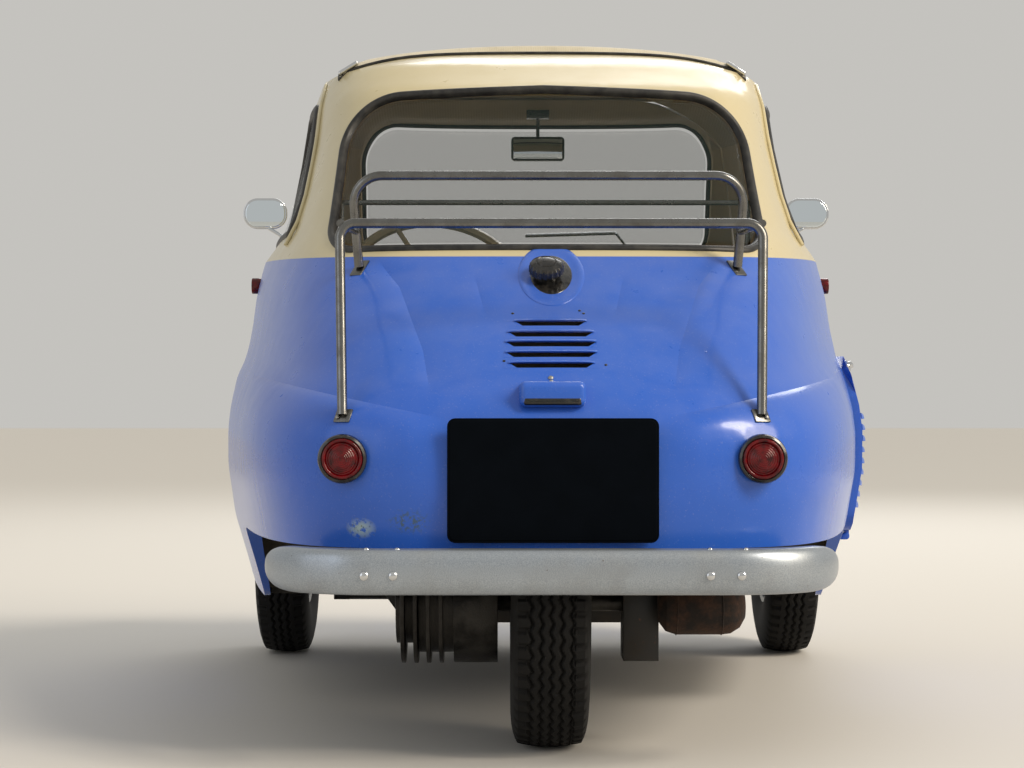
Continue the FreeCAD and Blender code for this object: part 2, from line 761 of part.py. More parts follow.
def chassis():
    """Two box-section rails with cross members, from the front axle back to the bumper."""
    half, spread = float(S.rail_radius), float(S.rail_spread)
    level = float(S.floor_height - S.rail_radius - S.seat_gap)
    wide, high = spread + 75, 325
    parts = []
    for side in (1, -1):
        parts.append(box_rail([(side * spread, 1640, level), (side * spread, 430, level),
                               (side * wide, 250, high), (side * wide, -RAIL_TAIL, high)], 20, half))
    for where in (1620, 1060, 560, 455):
        parts.append(block((-spread, ahead(where + 18), level - half), (spread, ahead(where - 18), level + half)))
    parts.append(block((-wide, ahead(-255), high - 16), (wide, ahead(-RAIL_TAIL), high + 16)))
    upright = block((-wide - 14, ahead(SPRING_AHEAD + 14), high), (-wide + 14, ahead(SPRING_AHEAD - 14), 462))
    arm = block((-wide - 14, ahead(SPRING_AHEAD + 14), 434.2), (SPRING_X + 32, ahead(SPRING_AHEAD - 14), 462))
    shaped("chassis_frame", fused(*parts, upright, arm))


def front_axle():
    """A cross tube with a forked kingpin carrier at each end."""
    pin_x = float(S.front_track / 2 - S.kingpin_offset)
    y = float(FRONT_AXLE)
    level = float(S.tyre_radius)
    beam_level = float(S.floor_height - 2 * S.rail_radius - 2 * S.seat_gap - 24)
    beam = rod((-(pin_x - 70), y, beam_level), (pin_x - 70, y, beam_level), 24)
    parts = [beam]
    for side in (1, -1):
        x = side * pin_x
        post = block((min(side * (pin_x - 88), side * (pin_x - 50)), y - 20, level - 125),
                     (max(side * (pin_x - 88), side * (pin_x - 50)), y + 20, level + 84))
        parts.append(post)
        for z in (level - 84, level + 66):
            arm = block((min(side * (pin_x - 60), x), y - 20, z), (max(side * (pin_x - 60), x), y + 20, z + 18))
            parts.append(arm)
            parts.append(Part.makeCylinder(20, 18, Vector(x, y, z)))
    carrier = fused(*parts)
    for side in (1, -1):
        bore = Part.makeCylinder(float(S.kingpin_radius + S.running_clearance), 400,
                                 Vector(side * pin_x, y, level - 200))
        carrier = carrier.cut(bore)
    shaped("front_axle", carrier)


def knuckle(name, side):
    """The upright that turns on the kingpin and carries the stub axle."""
    pin_x = float(S.front_track / 2 - S.kingpin_offset)
    level = float(S.tyre_radius)
    x, y = side * pin_x, float(FRONT_AXLE)
    upright = Part.makeCylinder(22, 131, Vector(x, y, level - 65.5))
    pin = Part.makeCylinder(float(S.kingpin_radius), 172, Vector(x, y, level - 86))
    stub = rod((x, y, level), (side * (S.front_track / 2 + 16), y, level), S.axle_radius)
    collar = rod((x, y, level), (side * (S.front_track / 2 - 34.5), y, level), 30)
    shaped("knuckle_" + name, fused(upright, pin, stub, collar))


def tyre(name, x, y, width):
    half = width / 2
    radius, bead = S.tyre_radius, S.bead_radius
    body = new_body("tyre_" + name)
    sketch = new_sketch(body, "tyre_" + name + "_section", "XZ_Plane")
    depth = radius - bead
    wall = (
        (half - 20, bead), (half, bead + depth * 0.3), (half - 2, bead + depth * 0.75),
        (half - 14, radius - 8), (half - 34, radius))
    outline(sketch, [(-across, out) for across, out in wall] + [(across, out) for across, out in wall[::-1]])
    turned(body, sketch, "H_Axis")
    place(body, x, y, radius)


def rim(name, x, y, width, outer_side, capped=True):
    """A pressed steel wheel with its hub: the dish is towards the side that shows."""
    half = width / 2
    bead, skin = S.bead_radius, S.rim_wall
    bore = S.axle_radius + S.running_clearance
    body = new_body("rim_" + name)
    sketch = new_sketch(body, "rim_" + name + "_section", "XZ_Plane")
    o = outer_side
    flange = half - 10
    section = [
        (-o * flange, bead + 8), (-o * (flange - 5), bead), (o * (flange - 5), bead),
        (o * flange, bead + 8), (o * (flange - 2), bead - skin), (o * 20, bead - skin - 6), (o * 18, 78),
        *([(o * 40, 44), (o * 40, 0), (o * 30, 0), (o * 30, bore)] if capped else [(o * 40, bore)]),
        (-o * 34, bore), (-o * 34, 34), (o * 8, 60), (o * 8, bead - skin - 6), (-o * (flange - 2), bead - skin)]
    outline(sketch, section)
    turned(body, sketch, "H_Axis")
    place(body, x, y, S.tyre_radius)


def rear_suspension():
    """The chain case that carries the rear wheel on one side, its spring and its bracket."""
    level = float(S.tyre_radius)
    y = float(REAR_AXLE)
    half = float(S.rear_tyre_width / 2)
    x0, x1 = half + 22, half + 98
    case = Part.makeCylinder(104, x1 - x0, Vector(x0, y, level), Vector(1, 0, 0))
    front = Part.makeCylinder(70, x1 - x0, Vector(x0, float(ahead(330)), level + 110), Vector(1, 0, 0))
    web = Part.makeBox(x1 - x0, 340, 120, Vector(x0, 0, -60))
    web.rotate(Vector(0, 0, 0), Vector(1, 0, 0), -math.degrees(math.atan2(110, 330)))
    web.translate(Vector(0, float(ahead(325)), level + 110))
    drum = Part.makeCylinder(86, 60, Vector(x1, y, level), Vector(1, 0, 0))
    fins = [Part.makeCylinder(105, 7, Vector(x1 + 18 + 22 * i, y, level), Vector(1, 0, 0)) for i in range(4)]
    hub = Part.makeCylinder(70, 54, Vector(x1 + 46, y, level), Vector(1, 0, 0))
    stub = rod((x0 + 4, y, level), (SPRING_X + 31, y, level), S.axle_radius)
    shaped("chain_case", fused(case, front, web, drum, hub, stub, *fins))
    at = float(ahead(SPRING_AHEAD))
    coils = [Part.makeCylinder(30, 14, Vector(SPRING_X, at, 300 + 32 * i)) for i in range(4)]
    damper = Part.makeCylinder(21, 130, Vector(SPRING_X, at, 292))
    foot = block((SPRING_X - 31, at - 22, 150), (SPRING_X + 31, y + 26, 292))
    top = block((SPRING_X - 32, at - 32, 422), (SPRING_X + 32, at + 32, 434))
    shaped("rear_spring", fused(damper, foot, top, *coils))


def engine():
    """The engine and gearbox as plain blocks with cooling fins, in their real place."""
    base = float(S.floor_height)
    gearbox = block((-60, ahead(575), base), (84, ahead(395), 470))
    output = block((20, ahead(400), 300), (S.rear_tyre_width / 2 + 22 - S.seat_gap, ahead(345), 420))
    crank = block((-330, ahead(560), base), (-60, ahead(435), 430))
    cylinder = Part.makeCylinder(56, 150, Vector(-210, float(ahead(470)), 430))
    fins = [block((-285, ahead(540), 446 + 24 * i), (-135, ahead(400), 455 + 24 * i)) for i in range(5)]
    head = block((-270, ahead(525), 560), (-150, ahead(415), 600))
    fan = Part.makeCylinder(95, 50, Vector(-380, float(ahead(470)), 370), Vector(1, 0, 0))
    shaped("engine_block", fused(crank, gearbox, output, cylinder, head, fan, *fins))


def exhaust():
    """A round silencer across the car, with its pipe from the engine."""
    wire = rounded_wire([(-150, 0), (-150, 38), (-140, 48), (140, 48), (150, 38), (150, 0)],
                        lambda p: Vector(-345 + p.x, float(ahead(-60)), 212 + p.y))
    can = Part.Face(wire).revolve(Vector(0, float(ahead(-60)), 212), Vector(1, 0, 0), 360)
    runs = [(-445, -60, 212), (-445, 180, 212), (-420, 345, 300), (-300, 440, 330)]
    runs = [(x, ahead(f), z) for x, f, z in runs]
    pipe = fused(*[rod(a, b, 17) for a, b in zip(runs, runs[1:])])
    tail = rod((-240, ahead(-60), 212), (-240, ahead(-170), 195), 14)
    shaped("exhaust", fused(can, pipe, tail).cut(doc.getObject("engine_block").Shape))


def rear_bumper():
    """A deep pressed bumper, crowned across and bent forward at both ends."""
    half, height = float(S.bumper_width / 2), float(S.bumper_height)
    back = float(REAR_AXLE + S.bumper_reach)
    middle = 339
    bend = 190
    flat = rounded_wire([(-half, -400), (-half, 0, bend), (half, 0, bend), (half, -400)],
                        lambda p: Vector(p.x, back + p.y, 0))
    thick = 22
    inner = rounded_wire([(-half + thick, -401), (-half + thick, -thick, bend - thick),
                          (half - thick, -thick, bend - thick), (half - thick, -401)],
                         lambda p: Vector(p.x, back + p.y, 0))
    band = Part.Face(flat).extrude(Vector(0, 0, height)).cut(Part.Face(inner).extrude(Vector(0, 0, height)))
    band.translate(Vector(0, 0, middle - height / 2))
    ends_box = block((-FAR, back - 500, 0), (FAR, back - 165, 1000))
    band = band.cut(ends_box)
    outer = [e for e in band.Edges if on_outer_path(e, half, back, bend)]
    band = band.makeChamfer(13, outer)
    mount = ahead(-RAIL_TAIL) + S.seat_gap
    brackets = [block((s * 280 - 20, mount, 318), (s * 280 + 20, back - 21, 332)) for s in (1, -1)]
    shaped("rear_bumper", fused(band, *brackets))


def on_outer_path(edge, half, back, bend):
    """Whether an edge runs along the outside of the bumper's band."""
    point = edge.valueAt((edge.FirstParameter + edge.LastParameter) / 2)
    start = edge.Vertexes[0].Point
    if abs(edge.Vertexes[-1].Point.z - start.z) > 1 or edge.Length < 30:
        return False
    if abs(point.y - back) < 0.5 or abs(abs(point.x) - half) < 0.5:
        return True
    centre = Vector(math.copysign(half - bend, point.x), back - bend, point.z)
    return abs((point - centre).Length - bend) < 0.5


def front_bumpers():
    """Two short tubular bumpers on the sill under the door."""
    parts = []
    for side in (1, -1):
        level, near, far = 246, side * 170, side * 394
        front = nose_y(near, level) - 28
        bar = rod((near - side * 16, front, level), (far + side * 16, front + 6, level), 11)
        for x in (near + side * 20, far - side * 20):
            bar = bar.fuse(rod((x, front + 4, level), (x, nose_y(x, level) + 12, level), 7))
        parts.append(biggest(bar.cut(OUTER)))
    shaped("front_bumpers", Part.makeCompound(parts))


RACK_X = 347                    # half width of the luggage rack
RACK_LEVEL = 898
RACK_BACK = -222                # its rear bar, ahead of the rear axle
HOOP_TOP = 998
HOOP_X = 357


def luggage_rack():
    """A bent-tube carrier: two upright legs with a bar, and a hoop on two brackets."""
    radius = float(S.rack_tube)
    foot_y = tail_y(RACK_X, 583)
    bar_y = float(ahead(RACK_BACK))
    parts = []
    legs = tube([(-RACK_X, foot_y + 4, 583), (-RACK_X, bar_y, RACK_LEVEL), (RACK_X, bar_y, RACK_LEVEL),
                 (RACK_X, foot_y + 4, 583)], radius, 26)
    hoop_y = float(ahead(0))
    foot_x = 340
    hoop_foot = tail_y(foot_x, 834)
    hoop = tube([(-foot_x, hoop_foot + 4, 836), (-HOOP_X, hoop_y, HOOP_TOP), (HOOP_X, hoop_y, HOOP_TOP),
                 (foot_x, hoop_foot + 4, 836)], radius, 55)
    parts += [legs, hoop]
    for side in (1, -1):
        parts.append(rod((side * RACK_X, bar_y, RACK_LEVEL), (side * (foot_x + 8), hoop_y + 22, 905), radius * 0.8))
        parts.append(block((side * RACK_X - 15, foot_y - 30, 570), (side * RACK_X + 15, foot_y + 16, 578)))
        parts.append(block((side * foot_x - 14, hoop_foot - 24, 818), (side * foot_x + 14, hoop_foot + 15, 826)))
        parts.append(rod((side * RACK_X, foot_y + 4, 574), (side * RACK_X, foot_y + 4, 590), 11))
        parts.append(rod((side * foot_x, hoop_foot + 4, 822), (side * foot_x, hoop_foot + 4, 842), 11))
    rack = fused(*parts)
    rack = rack.cut(OUTER)
    shaped("luggage_rack", biggest(rack))


def biggest(shape):
    return sorted(shape.Solids, key=lambda s: s.Volume)[-1]


def number_plate():
    body = new_body("number_plate")
    sketch = new_sketch(body, "number_plate_outline", "XZ_Plane")
    half, high = S.plate_width / 2, S.plate_height / 2
    outline(sketch, ((-half, -high, 12), (half, -high, 12), (half, high, 12), (-half, high, 12)))
    pad(body, sketch, S.plate_thickness)
    face = max(tail_y(0, z) for z in range(376, 577, 8))
    place(body, 0, face + S.plate_thickness + S.seat_gap, 476)


def plate_lamp():
    """The hooded lamp over the plate."""
    y = tail_y(0, 613)
    hood = block((-54, y - 60, 596), (54, y + 34, 628))
    edges = [e for e in hood.Edges if e.Length > 40 and max(v.Point.y for v in e.Vertexes) > y + 33]
    hood = hood.makeFillet(9, edges)
    shaped("plate_lamp", hood.cut(OUTER))


def tail_lamps():
    """Two round lamps: a rim with its lens."""
    radius, depth = float(S.tail_lamp_radius), float(S.tail_lamp_depth)
    rims, lenses = [], []
    for side in (1, -1):
        y = tail_y(side * 350, 509)
        base = y + 6
        rim_ring = rod((side * 350, base - 70, 509), (side * 350, base + 8, 509), radius + 3)
        lens = rod((side * 350, base - 4, 509), (side * 350, base + depth, 509), radius - 2)
        dome = lens.makeChamfer(11, [e for e in lens.Edges if abs(e.BoundBox.YMin - (base + depth)) < 1e-3])
        rims.append(biggest(rim_ring.cut(OUTER).cut(dome)))
        lenses.append(biggest(dome.cut(OUTER)))
    shaped("tail_lamps", Part.makeCompound(rims))
    shaped("tail_lamp_lenses", Part.makeCompound(lenses))


def headlamps():
    """Pods on the front wings, with a glass each."""
    radius = float(S.headlamp_radius)
    pods, glasses = [], []
    for side in (1, -1):
        x, z = side * 588, 612
        y = nose_y(x, z) - 55
        wire = rounded_wire([(0, 0), (radius, 0), (radius, 46), (58, 110), (28, 190), (0, 225)],
                            lambda p: Vector(x + p.x, y + p.y, z))
        pod = Part.Face(wire).revolve(Vector(x, y, z), Vector(0, 1, 0), 360)
        glass = rod((x, y - 10, z), (x, y, z), radius - 5)
        glass = glass.makeChamfer(7, [e for e in glass.Edges if abs(e.BoundBox.YMax - (y - 10)) < 1e-3])
        pods.append(biggest(pod.cut(OUTER)))
        glasses.append(glass)
    shaped("headlamps", Part.makeCompound(pods))
    shaped("headlamp_glasses", Part.makeCompound(glasses))


def filler():
    """The ribbed cap in its dished recess."""
    x, z = FILLER_AT
    y = tail_y(x, z - FILLER_BOWL) - 4
    body = new_body("filler_cap")
    sketch = new_sketch(body, "filler_cap_section", "XZ_Plane")
    outline(sketch, ((0, 0), (26, 0), (26, 18), (19, 27), (0, 27)))
    turned(body, sketch, "V_Axis")
    ribs = new_sketch(body, "filler_cap_rib", "XY_Plane")
    outline(ribs, ((24, -2.5), (29, -1.5), (29, 1.5), (24, 2.5)))
    rib = pad(body, ribs, 16)
    repeated(body, rib, 12, "N_Axis", ribs)
    place(body, x, y - 38 + S.seat_gap, z, Rotation(Vector(1, 0, 0), -90))


def side_lamps():
    parts = []
    for side in (1, -1):
        y, z = float(ahead(900)), 848
        x = flank_x(y, z)
        lamp = Part.makeCylinder(17, 26, Vector(side * (x - 10), y, z), Vector(side, 0, 0))
        parts.append(lamp.cut(OUTER))
    shaped("side_lamps", Part.makeCompound([biggest(p) for p in parts]))


MIRROR_AHEAD = 1480


def outside_mirrors():
    parts = []
    for side in (1, -1):
        y, z = float(ahead(MIRROR_AHEAD)), 1050
        foot_y = float(ahead(1400))
        foot_x = flank_x(foot_y, 935)
        head = block((side * 650 - 52, y - 30, z - 37), (side * 650 + 52, y, z + 37))
        head = head.makeFillet(13, [e for e in head.Edges if abs(e.tangentAt(e.FirstParameter).y) > 0.9])
        arm = tube([(side * (foot_x - 20), foot_y, 930), (side * (foot_x + 34), foot_y - 30, 970),
                    (side * 640, y - 16, z - 22)], 6, 20)
        parts.append(fused(head, arm).cut(OUTER))
    shaped("outside_mirrors", Part.makeCompound([biggest(p) for p in parts]))


def interior():
    """Seat, parcel rail, inside mirror."""
    body = new_body("seat_base")
    sketch = new_sketch(body, "seat_base_outline", "YZ_Plane")
    outline(sketch, ((ahead(1040), 290.3, 45), (ahead(1040), 452, 55), (ahead(640), 430, 30), (ahead(640), 290.3, 20)))
    pad(body, sketch, 940, both_ways=True)
    body = new_body("seat_back")
    sketch = new_sketch(body, "seat_back_outline", "YZ_Plane")
    outline(sketch, ((ahead(735), 452.3, 25), (ahead(672), 800, 40), (ahead(600.3), 800, 20), (ahead(600.3), 452.3, 20)))
    pad(body, sketch, 900, both_ways=True)
    y = float(ahead(390))
    rail = fused(rod((-396, y, 984), (396, y, 984), 5),
                 *[rod((side * 391, y, 824.2), (side * 391, y, 984), 5) for side in (1, -1)])
    shaped("parcel_rail", rail)
    y = float(ahead(1235))
    mirror = block((-61, y - 8, 1151), (61, y + 8, 1206))
    mirror = mirror.makeFillet(9, [e for e in mirror.Edges if abs(e.tangentAt(e.FirstParameter).y) > 0.9])
    stem = rod((0, y, 1200), (0, y, 1255), 4)
    foot = block((-26, y - 14, 1248), (26, y + 14, 1310)).common(egg(S.wall + S.seat_gap, coarse=True))
    shaped("inside_mirror", fused(mirror, stem, foot))


def steering():
    """The column that swings with the door, its wheel, and the pod with the dials."""
    x = 235
    top = Vector(x, float(ahead(1240)), 850)
    foot = Vector(x + 60, float(ahead(1640)), 500)
    way = (top - foot).normalize()
    column = rod(foot, top, S.column_radius)
    inside = egg(S.wall + S.seat_gap, coarse=True)
    struts = []
    for share, height in ((0.12, 560), (0.45, 705)):
        joint = foot + (top - foot) * share
        struts.append(rod(joint, (joint.x + 30, ahead(1900), height), 13).common(inside))
    pod_at = top - way * 150
    pod = Part.makeCylinder(62, 60, pod_at + Vector(0, 0, 52), Vector(0, 0.55, 0.25))
    post = rod(pod_at, pod_at + Vector(0, 0, 60), 16)
    bore = rod(top - way * 30, top + way * 20, S.axle_radius)
    stub = rod(top - way * 5, top + way * 26, S.axle_radius * 0.6)
    column = fused(column, post, pod, stub, *struts)
    shaped("steering_column", column)
    radius, grip = float(S.steering_wheel_radius), float(S.grip_radius)
    hub_at = top + way * 1
    section = [(radius + grip * math.cos(a), grip * math.sin(a))
               for a in (math.radians(30 + 60 * i) for i in range(6))]
    across = Vector(1, 0, 0) - way * way.x
    across.normalize()
    wire = rounded_wire(section, lambda p: top + way * (30 + p.y) + across * p.x)
    ring = Part.Face(wire).revolve(top, way, 360)
    hub = Part.makeCylinder(26, 36, hub_at, way)
    side = way.cross(Vector(1, 0, 0)).normalize()
    spokes = []
    for turn in (90, 210, 330):
        reach = Rotation(way, turn).multVec(side) * (radius - 2)
        spokes.append(rod(hub_at + way * 22, top + way * 30 + reach, 6))
    wheel = fused(ring, hub, *spokes)
    wheel = wheel.cut(rod(top - way * 10, top + way * 27, S.axle_radius * 0.6 + S.running_clearance))
    shaped("steering_wheel", wheel)


EAR_REACH = 532                 # outer end of the fixed hinge ears, short of the headlamp's pod


def door_furniture():
    """Handle, hinges and wiper, which swing with the door."""
    axis_y = float(ahead(HINGE_AHEAD))
    leaves, ears = [], []
    beyond = block((DOOR_EDGE[0][0] - 4, axis_y - 300, 0), (FAR, axis_y + 300, DOOR_HEAD))
    fixed_side = egg(-S.seam).common(beyond)
    for z in HINGE_LEVELS:
        skin = nose_y(400, z)
        eye = Part.makeCylinder(13, 34, Vector(HINGE_X, axis_y, z - 17))
        arm = block((392, min(axis_y, skin) - 9, z - 13), (HINGE_X, max(axis_y, skin) + 4, z + 13))
        leaf = fused(eye, arm).cut(OUTER).cut(fixed_side)
        leaves.append(biggest(leaf.cut(Part.makeCylinder(7.05, 80, Vector(HINGE_X, axis_y, z - 40)))))
        skin = nose_y(EAR_REACH, z)
        ear = Part.makeCylinder(7, 62, Vector(HINGE_X, axis_y, z - 31))
        for end in (z - 31, z + 19):
            ear = ear.fuse(block((HINGE_X - 9, axis_y - 11, end), (EAR_REACH, skin + 12, end + 12)))
        ears.append(biggest(ear.removeSplitter().cut(OUTER)))
    shaped("door_hinges", Part.makeCompound(leaves))
    shaped("hinge_brackets", Part.makeCompound(ears))
    y = nose_y(-400, 780)
    handle = tube([(-400, y + 20, 800), (-400, y - 40, 795), (-385, y - 40, 690), (-385, y + 20, 690)], 8, 16)
    shaped("door_handle", biggest(handle.cut(OUTER)))
    def over(x, z, by):
        return Vector(x, nose_y(x, z) - by, z)

    pivot_at = over(-285, 914, 0)
    pivot = rod(pivot_at + Vector(0, 14, 0), pivot_at - Vector(0, 26, 0), 9)
    arm = rod(pivot_at - Vector(0, 21, 0), over(-200, 1016, 26), 4)
    blade = rod(over(-200, 1016, 26), over(24, 1010, 24), 5)
    shaped("wiper", biggest(fused(pivot, arm, blade).cut(OUTER)))


body_panels()
window("rear_window", REAR_WINDOW, REAR_VIEW)
window("side_window", SIDE_WINDOW, seen_from_side(200, FAR), both_sides=True)
window("windscreen", WINDSCREEN, FRONT_VIEW)
sunroof()
engine_cover()
floor_and_bulkhead()
chassis()
front_axle()
half_track = S.front_track / 2
for name, side in (("left", 1), ("right", -1)):
    knuckle(name, side)
    tyre("front_" + name, half_track * side, FRONT_AXLE, S.front_tyre_width)
    rim("front_" + name, half_track * side, FRONT_AXLE, S.front_tyre_width, side)
tyre("rear", 0, REAR_AXLE, S.rear_tyre_width)
rim("rear", 0, REAR_AXLE, S.rear_tyre_width, -1, capped=False)
rear_suspension()
engine()
exhaust()
rear_bumper()
front_bumpers()
luggage_rack()
number_plate()
plate_lamp()
tail_lamps()
headlamps()
filler()
side_lamps()
outside_mirrors()
interior()
steering()
door_furniture()
doc.recompute()

# Every sub-part is checked before anything is written
subparts = [o for o in doc.Objects if o.TypeId in ("PartDesign::Body", "Part::Feature")]
for thing in doc.Objects:
    if "Invalid" in thing.State or "Error" in thing.State:
        raise RuntimeError("%s failed: %s" % (thing.Label, thing.State))
for part in subparts:
    if part.Shape.isNull() or not part.Shape.isValid() or not part.Shape.Solids:
        raise RuntimeError("%s has no valid solid" % part.Label)

os.makedirs("parts", exist_ok=True)
for part in subparts:
    part.Shape.exportStep(os.path.join("parts", part.Label + ".step"))
    print("%-22s %2d solids %9.1f cm3" % (part.Label, len(part.Shape.Solids), part.Shape.Volume / 1000))
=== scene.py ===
import json
import math

import bmesh
import bpy
import numpy as np
from mathutils import Matrix, Vector
from mathutils.bvhtree import BVHTree

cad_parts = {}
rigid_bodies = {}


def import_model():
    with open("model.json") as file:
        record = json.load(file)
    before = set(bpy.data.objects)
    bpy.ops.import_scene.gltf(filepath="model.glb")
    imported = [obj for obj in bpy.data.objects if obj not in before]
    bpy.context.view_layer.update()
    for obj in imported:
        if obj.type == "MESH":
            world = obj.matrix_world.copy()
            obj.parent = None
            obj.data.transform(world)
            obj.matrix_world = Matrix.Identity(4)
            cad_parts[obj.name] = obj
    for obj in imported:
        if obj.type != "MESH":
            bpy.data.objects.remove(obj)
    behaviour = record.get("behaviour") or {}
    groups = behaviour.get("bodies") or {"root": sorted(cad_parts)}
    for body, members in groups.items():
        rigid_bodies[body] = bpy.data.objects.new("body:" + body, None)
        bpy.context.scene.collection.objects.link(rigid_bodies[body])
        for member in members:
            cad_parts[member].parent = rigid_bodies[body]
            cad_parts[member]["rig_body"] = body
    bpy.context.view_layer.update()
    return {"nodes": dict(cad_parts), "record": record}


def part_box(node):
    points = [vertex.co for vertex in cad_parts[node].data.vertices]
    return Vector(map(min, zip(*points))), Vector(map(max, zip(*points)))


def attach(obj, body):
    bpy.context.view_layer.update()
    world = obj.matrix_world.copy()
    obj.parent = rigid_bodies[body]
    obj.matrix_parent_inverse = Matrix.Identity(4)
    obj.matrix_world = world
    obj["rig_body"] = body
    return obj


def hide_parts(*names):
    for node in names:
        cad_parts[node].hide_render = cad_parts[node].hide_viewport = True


# A three-wheeled bubble car, seen from straight behind: blue below the waist, cream above,
# with a silver bumper, a chromed luggage carrier and a cloth sunroof.
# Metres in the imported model's frame: +X the car's left, +Y its rear, +Z up.

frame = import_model()

MM = 0.001
LEFT, REARWARD, UP = Vector((1, 0, 0)), Vector((0, 1, 0)), Vector((0, 0, 1))
SLOTS = {s["node"]: s["material_slot"] for s in frame["record"]["subparts"]}

CAMERA_AT = Vector((0.0816, 4.7425, 0.61))
CAMERA_TURN = math.radians(0.2447)
CAMERA_RISE = math.radians(0.325)
CAMERA_LENS, CAMERA_SENSOR = 80.6, 36.0        # millimetres
FOCAL = 2293.0                  # the lens in the photograph's pixels
MIDDLE_COLUMN = 512             # of the photograph
HORIZON_ROW = 397               # the row at the camera's height


def middle(node):
    low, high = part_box(node)
    return (low + high) / 2


REAR_HUB = middle("tyre_rear")
FRONT_HUB = middle("tyre_front_left")


def at(x, ahead, z):
    """A point in millimetres: across, ahead of the rear axle, up."""
    return Vector((x * MM, REAR_HUB.y - ahead * MM, z * MM))


# Materials

def linear(colour):
    """An sRGB hex colour as the linear values that a socket takes."""
    channels = [int(colour[i:i + 2], 16) / 255 for i in (0, 2, 4)]
    return tuple(c / 12.92 if c <= 0.04045 else ((c + 0.055) / 1.055) ** 2.4 for c in channels) + (1.0,)


def per(millimetres):
    """The scale of a pattern whose features are this far apart."""
    return 1000.0 / millimetres


def finish(name, colour, **sockets):
    """A new material of one colour and its nodes. A socket's name has underscores for its spaces."""
    made = bpy.data.materials.new(name)
    made.use_nodes = True
    shader = made.node_tree.nodes["Principled BSDF"]
    shader.inputs["Base Color"].default_value = linear(colour)
    for socket, value in sockets.items():
        shader.inputs[socket.replace("_", " ")].default_value = value
    return made, made.node_tree


def add(tree, kind, settings=None, **inputs):
    """A node with its settings. An input is a value or another node's output."""
    node = tree.nodes.new("ShaderNode" + kind)
    for setting, value in (settings or {}).items():
        setattr(node, setting, value)
    for socket, value in inputs.items():
        key = int(socket[1:]) if socket[0] == "_" else socket.replace("_", " ")
        if isinstance(value, bpy.types.NodeSocket):
            tree.links.new(value, node.inputs[key])
        else:
            node.inputs[key].default_value = value
    return node


def speckle(tree, size, detail=4.0, low=0.4, high=0.6, stretch=None):
    """A soft-edged random mask from 0 to 1, with patches of this size in millimetres."""
    place = add(tree, "TexCoord").outputs["Object"]
    if stretch:
        place = add(tree, "Mapping", Vector=place, Scale=stretch).outputs["Vector"]
    cloud = add(tree, "TexNoise", Vector=place, Scale=per(size), Detail=detail, Roughness=0.6)
    return add(tree, "MapRange", Value=cloud.outputs["Fac"], From_Min=low, From_Max=high).outputs["Result"]


def grain(tree, size, detail):
    """Random heights all over a surface, with grains of this size in millimetres."""
    place = add(tree, "TexCoord").outputs["Object"]
    return add(tree, "TexNoise", Vector=place, Scale=per(size), Detail=detail).outputs["Fac"]


def overlap(tree, *masks):
    """The place that all these masks share. A mask is a node's output or a number that thins the others."""
    shared = masks[0]
    for mask in masks[1:]:
        shared = add(tree, "Math", {"operation": "MULTIPLY", "use_clamp": True}, _0=shared, _1=mask).outputs[0]
    return shared


def laid(tree, under, over, *masks):
    """One colour laid over another where its masks overlap. A colour is hex or a node's output."""
    under, over = (linear(c) if isinstance(c, str) else c for c in (under, over))
    return add(tree, "Mix", {"data_type": "RGBA"}, _0=overlap(tree, *masks), _6=under, _7=over).outputs[2]


def patterned(made, tree, colour=None, rough=None, bumps=None, socket="Normal"):
    """Gives a material its pattern: its colours, roughness as (mask, clean, worn), and bumps as
    (height, millimetres)."""
    shader = tree.nodes["Principled BSDF"]
    if colour is not None:
        tree.links.new(colour, shader.inputs["Base Color"])
    if rough:
        mask, clean, worn = rough
        dull = add(tree, "MapRange", Value=mask, To_Min=clean, To_Max=worn)
        tree.links.new(dull.outputs["Result"], shader.inputs["Roughness"])
    if bumps:
        height, depth = bumps
        raised = add(tree, "Bump", Height=height, Distance=depth * MM, Strength=1.0)
        tree.links.new(raised.outputs["Normal"], shader.inputs[socket])
    return made


def facing_up(tree):
    """How much a surface faces the sky, where dust settles."""
    up = add(tree, "SeparateXYZ", Vector=add(tree, "NewGeometry").outputs["Normal"]).outputs["Z"]
    return add(tree, "MapRange", Value=up, From_Min=-0.2, From_Max=1.0).outputs["Result"]


def near(tree, centre, radii):
    """A mask that is 1 at a place and 0 outside an ellipsoid round it, all in metres."""
    place = add(tree, "TexCoord").outputs["Object"]
    off = add(tree, "VectorMath", {"operation": "SUBTRACT"}, _0=place, _1=tuple(centre)).outputs[0]
    share = add(tree, "VectorMath", {"operation": "DIVIDE"}, _0=off, _1=tuple(radii)).outputs[0]
    length = add(tree, "VectorMath", {"operation": "LENGTH"}, _0=share).outputs["Value"]
    return add(tree, "MapRange", Value=length, From_Min=1.0, From_Max=0.4).outputs["Result"]


def stove_enamel(name, colour, shade, dust, worn=None):
    """Old glossy enamel: an even colour with slight fading, faint orange peel and settled dust."""
    made, tree = finish(name, colour, Roughness=0.36, Specular_IOR_Level=0.3, Coat_Weight=0.4,
                        Coat_Roughness=0.14)
    film = overlap(tree, facing_up(tree), speckle(tree, 60, detail=6, low=0.3, high=0.7))
    grit = speckle(tree, 3.2, detail=2, low=0.62, high=0.72)
    paint = laid(tree, colour, shade, speckle(tree, 420, low=0.3, high=0.75), 0.45)
    paint = laid(tree, paint, "b9b09a", film, dust)
    paint = laid(tree, paint, "c9c6bd", grit, 0.09)
    if worn:
        paint = worn(tree, paint)
    peel = grain(tree, 9, 1.5)
    patterned(made, tree, bumps=(peel, 0.03), socket="Coat Normal")
    return patterned(made, tree, paint, (film, 0.26, 0.46), (peel, 0.05))


FILLER_AT = Vector((0.312, REAR_HUB.y + 0.340, 0.397))
STAIN_AT = Vector((0.232, REAR_HUB.y + 0.340, 0.409))


